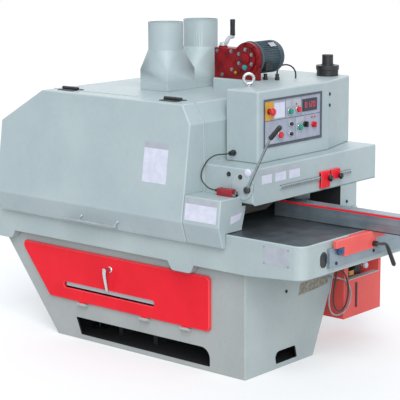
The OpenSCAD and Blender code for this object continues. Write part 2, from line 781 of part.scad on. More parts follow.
module hood_hinge_leaves() color(black)
    for (x = hinge_xs) difference() {
        union() {
            bar_x(hinge_barrel, x - hinge_len / 5, x + hinge_len / 5, hinge_y, hinge_z);
            block([x - hinge_len / 2, hinge_y - hinge_barrel - hinge_reach, body_z1],
                  [x + hinge_len / 2, hinge_y - hinge_barrel - 2, body_z1 + hinge_leaf]);
            block([x - hinge_len / 5, hinge_y - hinge_barrel - 4, body_z1],
                  [x + hinge_len / 5, hinge_y - 2, body_z1 + hinge_leaf]);
        }
        bar_x(pin_r + run, x - hinge_len, x + hinge_len, hinge_y, hinge_z);
    }

module hood_hinge_pins() color(black)
    for (x = hinge_xs) {
        bar_x(pin_r, x - hinge_len / 2, x + hinge_len / 2, hinge_y, hinge_z);
        for (s = [-1, 1]) {
            low = min(s * (hinge_len / 5 + slip), s * hinge_len / 2);
            high = max(s * (hinge_len / 5 + slip), s * hinge_len / 2);
            bar_x(hinge_barrel - slip, x + low, x + high, hinge_y, hinge_z);
            block([x + low, hinge_y + hood_gap / 2 + 1, body_z1],
                  [x + high, hinge_y + hinge_barrel + hinge_reach, body_z1 + hinge_leaf]);
        }
    }

// Section of the guard beside the mouth, open below and behind
module infeed_guard() color(paint) {
    front = hood_y(guard_z1);
    difference() {
        drawn_x([hood_low, [bed_y0 - 6, hood_low.y], [bed_y0 - 6, z_table + 4], [beam_y0, z_table + 4],
                 [beam_y0, guard_z1], [front, guard_z1], [hood_y_bend, hood_z_bend]], guard_x0, guard_x1);
        drawn_x([[hood_low.x + sheet + 1, hood_low.y - eps], [bed_y0, hood_low.y - eps],
                 [bed_y0, z_table + 3], [beam_y0 + eps, z_table + 3],
                 [beam_y0 + eps, guard_z1 - sheet], [front + sheet, guard_z1 - sheet],
                 [hood_y_bend + sheet, hood_z_bend]], guard_x0 + sheet, guard_x1 - sheet);
        bar_y(ear_r + 1, beam_y0 - ear_t - 1, beam_y0 + eps, ear_at.x, ear_at.y);
    }
    drawn_x([[beam_y0 - eps, z_table + 12], [beam_y0 + 34, mouth_top - 6], [beam_y0 - eps, mouth_top - 6]],
            guard_x1 - sheet, guard_x1);
}

module press_beam() color(paint) {
    difference() {
        union() {
            drawn_x(rounded(rect([beam_y0, mouth_top], [beam_y1, beam_z1]), [26, 0, 0, 0]), body_x1, beam_x1);
            bar_y(ear_r, beam_y0 - ear_t, beam_y0 + eps, ear_at.x, ear_at.y);
        }
        difference() {
            drawn_x(rounded([[beam_y0 + sheet, mouth_top - eps], [beam_y1 - sheet, mouth_top - eps],
                             [beam_y1 - sheet, beam_z1 - sheet], [beam_y0 + sheet, beam_z1 - sheet]],
                            [0, 0, 0, 0]), body_x1 - eps, beam_x1 - sheet);
            block([kick_x - 30, hanger_y, kick_z - 30], [beam_x1, hanger_y + 14, beam_z1]);
        }
        bar_y(kick_r + run, beam_y0 - 2 * ear_t, hanger_y + 20, kick_x, kick_z);
    }
}

module beam_column() color(paint)
    difference() {
        block([beam_x1 - column_d, col_y0, z_table], [beam_x1, col_y0 + column_w, mouth_top]);
        block([beam_x1 - column_d + 8, col_y0 + 8, z_table - eps],
              [beam_x1 - 8, col_y0 + column_w - 8, mouth_top - 8]);
    }

// Plan of the control box, drawn in by a wall
function cab_plan(t) =
    [[cab_x0 + t, cab_y0 + t], [cab_x1 - t, cab_y0 + t], [cab_x1 - t, cab_y0 + cab_w - t / 4],
     [cab_x1 - cab_slant - t, beam_y1 - t], [cab_x0 + t, beam_y1 - t]];

module control_box() color(paint) difference() {
    union() {
        translate([0, 0, beam_z1]) linear_extrude(cab_z1 - beam_z1)
            polygon(rounded(cab_plan(0), [0, 14, 30, 20, 0]));
        block([deck_x0, deck_y0, body_z1], [cab_x0 + eps, beam_y1, cab_z1]);
    }
    translate([0, 0, beam_z1 + sheet]) linear_extrude(cab_z1 - beam_z1 - 2 * sheet) polygon(cab_plan(sheet));
    block([deck_x0 + sheet, deck_y0 + sheet, body_z1 - eps],
          [cab_x0 - sheet, beam_y1 - sheet, cab_z1 - sheet]);
    block([cab_x1 - 2 * sheet, panel_y0, panel_z0], [cab_x1 + eps, panel_y0 + panel_w, panel_z0 + panel_h]);
    bar_z(screw_r + 4, cab_z1 - 2 * sheet, cab_z1 + eps, screw_x, screw_y);
}

// Panel plate set in the box's window, with a raised rim and holes for what passes through
module control_panel() color("#9aa3a8") difference() {
    union() {
        block([panel_face - panel_t, panel_y0, panel_z0],
              [panel_face, panel_y0 + panel_w, panel_z0 + panel_h]);
        difference() {
            block([panel_face, panel_y0, panel_z0],
                  [panel_face + 4, panel_y0 + panel_w, panel_z0 + panel_h]);
            block([panel_face - eps, panel_y0 + panel_rim, panel_z0 + panel_rim],
                  [panel_face + 4 + eps, panel_y0 + panel_w - panel_rim, panel_z0 + panel_h - panel_rim]);
        }
    }
    for (at = [estop_at, saw_start_at, saw_stop_at, feed_start_at, feed_stop_at, selector_at, speed_at])
        bar_x(stem_r + run, panel_face - 2 * panel_t, panel_face + eps, at.x, at.y);
}

// A cap on a stem through the panel, standing off by its travel
module button(at, r, stand, thick) {
    bar_x(stem_r, panel_face - panel_t - 6, panel_face + stand + 0.5, at.x, at.y);
    bar_x(r, panel_face + stand, panel_face + stand + thick, at.x, at.y);
}
module estop_button() color(signal_red) {
    button(estop_at, estop_r, 22, 16);
    bar_x(stem_r + 4, panel_face + button_travel + 2, panel_face + 22.5, estop_at.x, estop_at.y);
}
module saw_start() color("#2c9b86") button(saw_start_at, button_r, button_travel + 2, cap_h);
module saw_stop() color(signal_red) button(saw_stop_at, button_r, button_travel + 2, cap_h);
module feed_start() color("#2c9b86") button(feed_start_at, button_r, button_travel + 2, cap_h);
module feed_stop() color(signal_red) button(feed_stop_at, button_r + 2, button_travel + 2, cap_h);
// A knob with a finger bar across it
module turn_knob(at, r) {
    button(at, r, slip, 10);
    translate([0, at.x, at.y])
        block([panel_face + 9, -r * 0.32, -r * 0.92], [panel_face + 24, r * 0.32, r * 0.92]);
}
module selector_knob() color(black) turn_knob(selector_at, 16);
module speed_knob() color(signal_red) turn_knob(speed_at, 16);

module dust_pad() color(paint) difference() {
    block([pad_x0, pad_y0, body_z1], [pad_x1, pad_y0 + pad_y, body_z1 + pad_h]);
    block([pad_x0 + 12, pad_y0 + 12, body_z1 - eps],
          [pad_x1 - 12, pad_y0 + pad_y - 12, body_z1 + pad_h + eps]);
}

// Square collar, square-to-round stretch and splayed round spigot
module port_form(cy, shift, t, grow) {
    z0 = body_z1 + pad_h - grow;
    z1 = body_z1 + pad_h + port_collar;
    z2 = z1 + port_taper;
    half_x = pad_x / 2 - 1 - t;
    half_y = port_w / 2 - t;
    hull() {
        block([port_cx - half_x, cy - half_y, z0], [port_cx + half_x, cy + half_y, z1]);
        translate([port_cx, cy + shift, z2]) cylinder(r = port_r - t - 0.4, h = 0.5, $fn = 40);
    }
    bar_z(port_r - t, z2, z2 + port_pipe + grow, port_cx, cy + shift);
}
module dust_port(i) color(paint) difference() {
    port_form(port_ys[i], port_splay[i], 0, 0);
    port_form(port_ys[i], port_splay[i], port_wall, eps);
}
module dust_port_left() dust_port(0);
module dust_port_right() dust_port(1);

// Round case with its front boss, foot, and the housing round the lift screw
module lift_gearbox() color(dark_red) difference() {
    union() {
        bar_y(gear_r, gear_y0, gear_y0 + gear_d, gear_x, gear_z);
        bar_y(gear_r - 26, gear_y0 - 10, gear_y0, gear_x, gear_z);
        block([screw_x - 30, gear_y0 + 5, cab_z1], [gear_block_x1, gear_y0 + gear_block_d, gear_block_z1]);
        block([gear_block_x1 - eps, gear_y0 + 5, cab_z1], [gear_x, gear_y0 + gear_d, gear_block_z1]);
        block([gear_x - gear_r + 10, gear_y0 + 5, cab_z1],
              [gear_x + gear_r - 10, gear_y0 + gear_d, gear_z - gear_r / 2]);
        bar_z(26, gear_block_z1 - eps, gear_block_z1 + 8, screw_x, screw_y);
    }
    bar_z(screw_r + run, cab_z1 - eps, gear_block_z1 + 20, screw_x, screw_y);
}

module lift_motor() color(motor_grey) {
    y0 = gear_y0 + gear_d;
    bar_y(lift_motor_r + 10, y0, y0 + 16, gear_x, gear_z);
    bar_y(lift_motor_r, y0 + 16, y0 + lift_motor_len, gear_x, gear_z);
    block([gear_x + lift_motor_r * 0.5, y0 + 30, gear_z - 66],
          [gear_x + lift_motor_r * 0.5 + 52, y0 + 86, gear_z - 20]);
}

// Screw, hub, rising arm and grip of the hand crank
module lift_crank() color("silver") {
    bar_z(screw_r, screw_z0, crank_z, screw_x, screw_y);
    bar_z(20, gear_block_z1 + 8 + slip, crank_z + 14, screw_x, screw_y);
    translate([screw_x, screw_y, crank_z]) rotate([0, 0, crank_turn]) {
        drawn_x([[0, -6], [crank_reach * 0.25, -4], [crank_reach * 0.65, crank_rise],
                 [crank_reach, crank_rise], [crank_reach, crank_rise + 14],
                 [crank_reach * 0.55, crank_rise + 14], [crank_reach * 0.1, 12], [0, 12]], -9, 9);
        translate([0, crank_reach, 0]) {
            bar_z(11, crank_rise, crank_rise + 14, 0, 0);
            bar_z(grip_r, crank_rise + 13, crank_rise + 13 + grip_len, 0, 0);
        }
    }
}

// Ring bolts screwed into the roofs
module lifting_eyes() color("silver")
    for (at = eye_places) translate(at) {
        cylinder(r = 19, h = 10);
        cylinder(r = 11, h = 16);
        translate([0, 0, 42]) rotate([90, 0, 45]) rotate_extrude() translate([27, 0]) circle(r = 8);
    }

// Glands on the deck and on the side of the control box
module gland(r, h) {
    cylinder(r = r, h = h * 0.45, $fn = 6);
    cylinder(r = r * 0.72, h = h);
}
module cable_glands() color(black) {
    for (at = [spare_gland, motor_route[0]])
        translate([at.x, at.y, cab_z1]) gland(15, 34);
    translate([interlock_route[0].x, cab_y0, interlock_route[0].z]) rotate([90, 0, 0]) gland(17, 36);
}

module control_cables() color(black) {
    tube(interlock_route, cable_r, [-1, 1, -1]);
    tube(motor_route, cable_r + 1, [1, -0.4, 0]);
}

module power_bushing() color(black) {
    at = [cab_x0 + 30, beam_y1 - 94, cab_z1];
    translate(at) {
        cylinder(r = 62, h = 34);
        translate([0, 0, 34]) cylinder(r = 66, h = 26);
        translate([0, 0, 60]) cylinder(r = 38, h = 6);
        translate([0, 0, 66]) cylinder(r = 32, h = 54);
    }
}

module interlock_switch() color(dark_red) {
    block([switch_at.x, switch_at.y - 20, guard_z1], [switch_at.x + 102, switch_at.y + 20, guard_z1 + 38]);
}

// Arbor with spacers, nut and pulley
module saw_arbor() color(steel) {
    last = blade_y0 + (blade_count - 1) * blade_pitch;
    bar_y(arbor_r, blade_y0 - blade_t / 2, block_ys[1][1] + 10, arbor_x, arbor_z);
    for (i = [0:blade_count - 2]) {
        y = blade_y0 + i * blade_pitch;
        bar_y(arbor_r + 16, y + blade_t / 2, y + blade_pitch - blade_t / 2, arbor_x, arbor_z);
    }
    bar_y(arbor_r + 16, last + blade_t / 2, block_ys[0][0] - 3, arbor_x, arbor_z);
    bar_y(arbor_r + 12, arbor_y0, blade_y0 - blade_t / 2, arbor_x, arbor_z);
    bar_y(pulley_r, belt_y[0], belt_y[1], arbor_x, arbor_z);
    for (y = [belt_y[0] - flange_t, belt_y[1]])
        bar_y(pulley_r + flange_h, y, y + flange_t, arbor_x, arbor_z);
}

function saw_outline(teeth) =
    [for (i = [0:teeth - 1], k = [0, 1, 2])
        let (a = 360 / teeth * (i + [0, 0.15, 0.55][k]), r = blade_r - [0, 9, 7][k]) r * [cos(a), sin(a)]];

module saw_blades() color("silver")
    for (i = [0:blade_count - 1])
        translate([arbor_x, blade_y0 + i * blade_pitch + blade_t / 2, arbor_z]) rotate([90, 0, 0])
            difference() {
                linear_extrude(blade_t) polygon(saw_outline(28));
                translate([0, 0, -eps]) cylinder(r = arbor_r, h = blade_t + 2 * eps);
            }

module arbor_bearings() color(motor_grey)
    for (ys = block_ys) difference() {
        union() {
            bar_y(arbor_r + 36, ys[0], ys[1], arbor_x, arbor_z);
            block([arbor_x - 90, ys[0], z_table], [arbor_x + 90, ys[1], arbor_z]);
        }
        bar_y(arbor_r + run, ys[0] - eps, ys[1] + eps, arbor_x, arbor_z);
        drawn_y([[arbor_x - 91, z_table + 45], [arbor_x - 91, arbor_z + eps],
                 [arbor_x - arbor_r - 36, arbor_z + eps]], ys[0] - eps, ys[1] + eps);
        drawn_y([[arbor_x + 91, z_table + 45], [arbor_x + 91, arbor_z + eps],
                 [arbor_x + arbor_r + 36, arbor_z + eps]], ys[0] - eps, ys[1] + eps);
    }

module main_motor() color(motor_grey) difference() {
    union() {
        bar_y(motor_r, motor_y[0], motor_y[1], arbor_x, motor_z);
        difference() {
            block([arbor_x - motor_r, motor_y[0] + 60, floor_t],
                  [arbor_x + motor_r, motor_y[1] - 60, motor_z - 60]);
            block([arbor_x - motor_r + 30, motor_y[0], floor_t - eps],
                  [arbor_x + motor_r - 30, motor_y[1], motor_z - motor_r - 20]);
        }
        block([arbor_x - motor_r - 40, motor_y[0] + 90, motor_z - 60],
              [arbor_x, motor_y[0] + 220, motor_z + 60]);
    }
    bar_y(motor_shaft_r + run, motor_y[1] - 60, motor_y[1] + eps, arbor_x, motor_z);
}

module motor_pulley() color(steel) {
    bar_y(motor_shaft_r, motor_y[1] - 55, belt_y[1] + flange_t, arbor_x, motor_z);
    bar_y(drive_r, belt_y[0], belt_y[1], arbor_x, motor_z);
    for (y = [belt_y[0] - flange_t, belt_y[1]])
        bar_y(drive_r + flange_h, y, y + flange_t, arbor_x, motor_z);
}

// Closed loop round both pulleys at a distance from their rims
function belt_loop(out, n = 24) =
    let (r1 = pulley_r + out, r2 = drive_r + out, tilt = asin((r2 - r1) / (arbor_z - motor_z)))
    concat([for (i = [0:n]) let (a = tilt + (180 - 2 * tilt) * i / n)
                [arbor_x + r1 * cos(a), arbor_z + r1 * sin(a)]],
           [for (i = [0:n]) let (a = 180 - tilt + (180 + 2 * tilt) * i / n)
                [arbor_x + r2 * cos(a), motor_z + r2 * sin(a)]]);
module drive_belt() color(black) difference() {
    drawn_y(belt_loop(belt_t + 1), belt_y[0] + 2, belt_y[1] - 2);
    drawn_y(belt_loop(1), belt_y[0], belt_y[1]);
}

// A roller with a journal at each end
module roller(r, x, z) {
    bar_y(r, roller_y[0], roller_y[1], x, z);
    bar_y(journal_r, roller_y[0] - 3 - journal, roller_y[1] + 3 + journal, x, z);
}
module feed_roller_front() color(steel) roller(feed_r, front_x, feed_z);
module feed_roller_rear() color(steel) roller(feed_r, rear_x, feed_z);
module press_roller_front() color(black) roller(press_r, front_x, press_z);
module press_roller_rear() color(black) roller(press_r, rear_x, press_z);

// Two yokes joined over the blades, with the lift nut and the guide bush
module press_carriage() color(motor_grey) {
    half = roller_y[1] + 4;
    difference() {
        union() {
            block([rear_x, yoke_y[0], yoke_z[0]], [front_x, yoke_y[1], yoke_z[1]]);
            for (x = [front_x, rear_x]) {
                block([x - arm_w / 2, -half - arm_t, yoke_z[0]], [x + arm_w / 2, half + arm_t, yoke_z[1]]);
                for (y = [-half - arm_t, half])
                    block([x - arm_w / 2, y, press_z - arm_w / 2],
                          [x + arm_w / 2, y + arm_t, yoke_z[0] + eps]);
            }
            block([screw_x - arm_w / 2, half, yoke_z[0]], [front_x + arm_w / 2, screw_y, yoke_z[1]]);
            bar_z(screw_r + 16, yoke_z[0], yoke_z[1], screw_x, screw_y);
            block([rear_x - arm_w / 2, half, yoke_z[0]], [rear_x + arm_w / 2, guide_y, yoke_z[1]]);
            bar_z(guide_r + 14, yoke_z[0], yoke_z[1], rear_x, guide_y);
        }
        for (x = [front_x, rear_x])
            bar_y(journal_r + run, -half - 2 * arm_t, half + 2 * arm_t, x, press_z);
        bar_z(screw_r + run, yoke_z[0] - eps, yoke_z[1] + eps, screw_x, screw_y);
        bar_z(guide_r + run, yoke_z[0] - eps, yoke_z[1] + eps, rear_x, guide_y);
    }
}

module fence_rail() color(steel)
    block([bed_x1, rail_y[0], rail_z1 - rail_h], [bed_x1 + rail_d, rail_y[1], rail_z1]);

module fence() color(steel)
    block([fence_x0, fence_y, fence_z0], [fence_x0 + fence_len, fence_y + fence_t, fence_z0 + fence_h]);

// Red T-shaped casting that carries the fence and hooks over the rail
module fence_clamp() color(signal_red) {
    x1 = bed_x1 + rail_d + slip;
    difference() {
        union() {
            block([x1, clamp_y[0], rail_z1 + slip], [x1 + clamp_t, clamp_y[1], fence_z0]);
            block([bed_x1 + slip, clamp_hook_y, rail_z1 + slip], [x1 + clamp_t, clamp_y[1], fence_z0]);
            block([x1, clamp_low_y[0], clamp_low_z], [x1 + clamp_t, clamp_low_y[1], rail_z1 + 2]);
        }
        bar_x(pin_r + run, x1 - eps, x1 + clamp_t + eps, fence_lever_at.y, fence_lever_at.z);
    }
}

module fence_lever() color(black) {
    x = fence_lever_at.x;
    bar_x(pin_r, x - clamp_t + 2, x + 6, fence_lever_at.y, fence_lever_at.z);
    translate([0, fence_lever_at.y, fence_lever_at.z]) {
        bar_x(15, x + slip, x + 26, 0, 0);
        drawn_x([[-8, -6], [14, -14], [72, -24], [104, -46], [164, -154], [188, -144],
                 [126, -32], [92, -6], [14, 12], [-6, 10]],
                x + 8, x + 22);
    }
}

// Shaft with hanging fingers
module kickback_fingers() color(steel) {
    bar_y(kick_r, lever_y, hanger_y + 18, kick_x, kick_z);
    for (i = [0:finger_count - 1]) {
        y = finger_y0 + i * finger_pitch;
        bar_y(kick_r + 9, y, y + finger_t, kick_x, kick_z);
        drawn_y([[kick_x - 19, kick_z], [kick_x + 13, kick_z],
                 [kick_x - finger_reach + 29, z_table + finger_tip + 22],
                 [kick_x - finger_reach, z_table + finger_tip],
                 [kick_x - finger_reach - 13, z_table + finger_tip + 26]],
                y, y + finger_t);
    }
}

module kickback_lever() color("silver")
    translate([kick_x, 0, kick_z]) rotate([0, lever_lean, 0]) {
        bar_y(18, lever_y - 16, lever_y, 0, 0);
        bar_z(8, 0, lever_len, 0, lever_y - 8);
        translate([0, 0, lever_len - 4]) rotate([0, lever_bend, 0]) bar_z(13, 0, lever_grip, 0, lever_y - 8);
    }

module pointer_rail() color(steel)
    block([beam_x1, prail_y[0], prail_z - prail_h / 2],
          [beam_x1 + prail_d, prail_y[1], prail_z + prail_h / 2]);

// Block that rides on the pointer rail, with a threaded hole for its knob
module pointer_clamp(i) color(signal_red) difference() {
    block([beam_x1 + slip, pointer_ys[i] - pointer_w / 2, prail_z - pointer_drop[i]],
          [beam_x1 + pointer_d, pointer_ys[i] + pointer_w / 2, prail_z + pointer_rise]);
    block([beam_x1 - eps, pointer_ys[i] - pointer_w, prail_z - prail_h / 2 - slip],
          [beam_x1 + prail_d + slip, pointer_ys[i] + pointer_w, prail_z + prail_h / 2 + slip]);
    bar_x(pin_r + run, beam_x1 + prail_d, beam_x1 + pointer_d + eps, pointer_ys[i] + pknob_side, pknob_z);
}
module pointer_clamp_left() pointer_clamp(0);
module pointer_clamp_right() pointer_clamp(1);
module pointer_knob(i) color(black) {
    x = beam_x1 + pointer_d;
    bar_x(pin_r, x - 5, x + 4, pointer_ys[i] + pknob_side, pknob_z);
    translate([x + slip, pointer_ys[i] + pknob_side, pknob_z]) rotate([0, 90, 0]) difference() {
        cylinder(r = pknob_r, h = 22);
        for (k = [0:5]) rotate([0, 0, 60 * k])
            translate([pknob_r + 5, 0, 6]) cylinder(r = 8, h = 20);
    }
}
module pointer_knob_left() pointer_knob(0);
module pointer_knob_right() pointer_knob(1);

// Closed reservoir below, open fitting bay above
module lube_tank() color(signal_red) difference() {
    block([tank_x1 - tank_x, tank_y0, tank_foot], [tank_x1, tank_y0 + tank_y, tank_z1]);
    block([tank_x1 - tank_x + tank_wall, tank_y0 + tank_wall, tank_foot + tank_wall],
          [tank_x1 - tank_wall, tank_y0 + tank_y - tank_wall, tank_foot + tank_z]);
    block([tank_x1 - tank_x + tank_wall, tank_y0 + 40, tank_foot + tank_z + tank_wall],
          [tank_x1 + eps, tank_y0 + tank_y - 24, tank_z1 - tank_wall]);
    cabinet_form(-eps, 0, base_h + eps);
}

module lube_pump() color(black) {
    z = pump_z;
    x = pump_x;
    block([x - 60, tank_y0 + 60, z], [x + 48, tank_y0 + 140, z + 40]);
    bar_z(34, z, z + 110, x, tank_y0 + 220);
    bar_z(24, z + 110, z + 128, x, tank_y0 + 220);
    block([x - 30, tank_y0 + 139, z + 8], [x + 30, tank_y0 + 200, z + 36]);
}

module lube_hoses() color("#3a3d40")
    for (route = hose_routes) tube(route, hose_r, [1, 0.3, 0.2]);

base_cabinet();
jack_screws();
service_door();
door_latch();
door_hinge_pins();
bed_casting();
table_plates();
upper_body();
infeed_guard();
press_beam();
beam_column();
hood();
hood_handle();
hood_hinge_leaves();
hood_hinge_pins();
control_box();
control_panel();
estop_button();
saw_start();
saw_stop();
feed_start();
feed_stop();
selector_knob();
speed_knob();
dust_pad();
dust_port_left();
dust_port_right();
lift_gearbox();
lift_motor();
lift_crank();
lifting_eyes();
cable_glands();
control_cables();
power_bushing();
interlock_switch();
saw_arbor();
saw_blades();
arbor_bearings();
main_motor();
motor_pulley();
drive_belt();
feed_roller_front();
feed_roller_rear();
press_carriage();
press_roller_front();
press_roller_rear();
fence();
fence_clamp();
fence_lever();
fence_rail();
kickback_fingers();
kickback_lever();
pointer_rail();
pointer_clamp_left();
pointer_clamp_right();
pointer_knob_left();
pointer_knob_right();
lube_tank();
lube_pump();
lube_hoses();
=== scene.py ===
"""Looks of a multi rip saw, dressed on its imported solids.

Lengths in the classes are millimetres of the machine's own frame: origin on the floor, +X to the infeed
end, -Y to the hood side, +Z up. A mesh is brought to metres when its piece is finished.
"""

import json
import logging
import math
from dataclasses import dataclass
from enum import Enum
from typing import Callable, Optional, Sequence, Union

import bmesh
import bpy
from mathutils import Matrix, Vector


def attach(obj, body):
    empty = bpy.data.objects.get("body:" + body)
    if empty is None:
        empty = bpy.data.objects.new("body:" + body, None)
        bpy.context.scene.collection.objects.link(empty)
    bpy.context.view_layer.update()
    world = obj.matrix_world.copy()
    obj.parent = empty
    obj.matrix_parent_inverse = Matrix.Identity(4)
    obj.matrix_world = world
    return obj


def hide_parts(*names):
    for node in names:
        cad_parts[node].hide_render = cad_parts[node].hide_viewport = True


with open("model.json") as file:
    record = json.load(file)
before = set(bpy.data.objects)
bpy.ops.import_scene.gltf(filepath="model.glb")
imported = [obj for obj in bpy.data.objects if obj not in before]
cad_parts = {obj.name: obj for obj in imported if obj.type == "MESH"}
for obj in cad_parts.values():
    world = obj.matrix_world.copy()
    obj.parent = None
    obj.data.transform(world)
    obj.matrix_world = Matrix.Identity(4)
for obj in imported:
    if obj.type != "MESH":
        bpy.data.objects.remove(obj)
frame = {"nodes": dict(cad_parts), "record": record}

LOG = logging.getLogger("multi_rip_saw")
MM = 0.001
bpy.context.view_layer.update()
RECORD = frame["record"]
BODY_OF = {node: body for body, nodes in RECORD["behaviour"]["bodies"].items() for node in nodes}
SLOT_OF = {row["node"]: row["material_slot"] for row in RECORD["subparts"]}
WHITE = (1.0, 1.0, 1.0, 1.0)
# Thickness in millimetres of a glued plate or film.
FILM = 0.7
# Least share of a normal along an axis, for a face that looks that way.
LOOKING = 0.9
# Distance in millimetres within which two corners of a solid are one, and angle for two faces.
WELD = 0.02
FLAT = 0.4
# Least angle in degrees of an edge that is rounded, on a solid and on a drawn-out outline.
CORNER = 22.0
OUTLINE_CORNER = 30.0
# Angle in degrees from which an edge of a repeated form stays sharp.
CREASE = 30.0

Point = Sequence[float]
Pair = tuple[float, float]
Sockets = dict[Union[str, int], object]


def linear(code: str) -> tuple[float, float, float, float]:
    """Turn an sRGB hex colour into linear light.

    Args:
        code: Colour as "#rrggbb".

    Returns:
        Linear red, green and blue with an alpha of one.
    """
    parts = [int(code[i:i + 2], 16) / 255 for i in (1, 3, 5)]
    light = [p / 12.92 if p <= 0.04045 else ((p + 0.055) / 1.055) ** 2.4 for p in parts]
    return (light[0], light[1], light[2], 1.0)


def add(tree: bpy.types.NodeTree, kind: str, links: Optional[Sockets] = None,
        **settings: object) -> bpy.types.Node:
    """Add a node with its settings, and set or link its inputs.

    Args:
        tree: Tree that takes the node.
        kind: Blender's name for the node's type.
        links: Input name or index to a value or to the socket that feeds it.
        **settings: The node's own settings.

    Returns:
        The new node.
    """
    node = tree.nodes.new(kind)
    for key, value in settings.items():
        setattr(node, key, value)
    for key, value in (links or {}).items():
        if isinstance(value, bpy.types.NodeSocket):
            tree.links.new(value, node.inputs[key])
        else:
            node.inputs[key].default_value = value
    return node


@dataclass(frozen=True)
class Finish:
    """A surface as it was made: two tones that drift into each other, and a roughness."""

    name: str
    colour: str
    tone: str
    roughness: float

    def sockets(self, tree: bpy.types.NodeTree, place: bpy.types.NodeSocket) -> Sockets:
        """Build the finish's pattern; each kind of finish has its own."""
        raise NotImplementedError

    def material(self) -> bpy.types.Material:
        """Give the finish's material, made once.

        Returns:
            The material with its node tree.
        """
        made = bpy.data.materials.get(self.name)
        if made is None:
            made = bpy.data.materials.new(self.name)
            made.use_nodes = True
            tree = made.node_tree
            tree.nodes.clear()
            place = add(tree, "ShaderNodeTexCoord").outputs["Object"]
            shader = add(tree, "ShaderNodeBsdfPrincipled", self.sockets(tree, place))
            add(tree, "ShaderNodeOutputMaterial", {"Surface": shader.outputs["BSDF"]})
            made.diffuse_color = linear(self.colour)
        return made


@dataclass(frozen=True)
class Enamel(Finish):
    """Sprayed enamel: slow drift of the tone, a film of workshop dust and the skin of an orange."""

    grime: str = "#7f8886"
    dust: float = 0.10
    patch: float = 320.0
    peel: float = 5.0
    depth: float = 0.10
    coat: float = 0.0
    shine: float = 0.5
    dust_patch: float = 25.0

    def sockets(self, tree: bpy.types.NodeTree, place: bpy.types.NodeSocket) -> Sockets:
        """Build drift, dust and orange peel.

        Args:
            tree: The material's tree.
            place: Object coordinates in metres.

        Returns:
            Inputs of the shader.
        """
        drift = add(tree, "ShaderNodeTexNoise",
                    {"Vector": place, "Scale": 1 / (self.patch * MM), "Detail": 3.0})
        spread = add(tree, "ShaderNodeMapRange",
                     {"Value": drift.outputs[0], "From Min": 0.36, "From Max": 0.64})
        body = add(tree, "ShaderNodeMix",
                   {0: spread.outputs[0], 6: linear(self.tone), 7: linear(self.colour)},
                   data_type="RGBA")
        # Dust settles in patches; finer than this it would not show at the photo's distance.
        film = add(tree, "ShaderNodeTexNoise",
                   {"Vector": place, "Scale": 1 / (self.dust_patch * MM), "Detail": 5.0, "Roughness": 0.62})
        dust = add(tree, "ShaderNodeMapRange",
                   {"Value": film.outputs[0], "From Min": 0.48, "From Max": 0.8,
                    "To Min": 0.0, "To Max": self.dust})
        colour = add(tree, "ShaderNodeMix", {0: dust.outputs[0], 6: body.outputs[2], 7: linear(self.grime)},
                     data_type="RGBA")
        rough = add(tree, "ShaderNodeMapRange",
                    {"Value": film.outputs[0], "From Min": 0.3, "From Max": 0.7,
                     "To Min": self.roughness - 0.05, "To Max": self.roughness + 0.07})
        # Real orange peel is 1 to 2 mm wide; it is drawn coarser so that it shows.
        peel = add(tree, "ShaderNodeTexNoise",
                   {"Vector": place, "Scale": 1 / (self.peel * MM), "Detail": 1.0})
        bump = add(tree, "ShaderNodeBump",
                   {"Strength": 0.35, "Distance": self.depth * MM, "Height": peel.outputs[0]})
        return {"Base Color": colour.outputs[2], "Roughness": rough.outputs[0], "Normal": bump.outputs[0],
                "Coat Weight": self.coat, "Coat Roughness": 0.12, "Specular IOR Level": self.shine}


@dataclass(frozen=True)
class WorkedMetal(Finish):
    """Ground, turned or polished metal: streaks along the tool's path and a change of gloss with them."""

    streak: tuple[float, float, float] = (240.0, 5.0, 5.0)
    metallic: float = 1.0
    depth: float = 0.03
    smear_width: float = 90.0

    def sockets(self, tree: bpy.types.NodeTree, place: bpy.types.NodeSocket) -> Sockets:
        """Build streaks and smears.

        Args:
            tree: The material's tree.
            place: Object coordinates in metres.

        Returns:
            Inputs of the shader.
        """
        # Grinding marks are near 0.3 mm apart; they are drawn wider so that they show.
        stretch = add(tree, "ShaderNodeMapping",
                      {"Vector": place, "Scale": tuple(1 / (length * MM) for length in self.streak)})
        marks = add(tree, "ShaderNodeTexNoise", {"Vector": stretch.outputs[0], "Scale": 1.0, "Detail": 4.0})
        smear = add(tree, "ShaderNodeTexNoise",
                    {"Vector": place, "Scale": 1 / (self.smear_width * MM), "Detail": 3.0})
        both = add(tree, "ShaderNodeMath", {0: marks.outputs[0], 1: smear.outputs[0]}, operation="ADD")
        spread = add(tree, "ShaderNodeMapRange",
                     {"Value": both.outputs[0], "From Min": 0.75, "From Max": 1.25})
        colour = add(tree, "ShaderNodeMix",
                     {0: spread.outputs[0], 6: linear(self.tone), 7: linear(self.colour)},
                     data_type="RGBA")
        rough = add(tree, "ShaderNodeMapRange",
                    {"Value": both.outputs[0], "From Min": 0.7, "From Max": 1.3,
                     "To Min": max(self.roughness - 0.07, 0.03), "To Max": self.roughness + 0.09})
        bump = add(tree, "ShaderNodeBump",
                   {"Strength": 0.3, "Distance": self.depth * MM, "Height": marks.outputs[0]})
        return {"Base Color": colour.outputs[2], "Metallic": self.metallic, "Roughness": rough.outputs[0],
                "Normal": bump.outputs[0]}


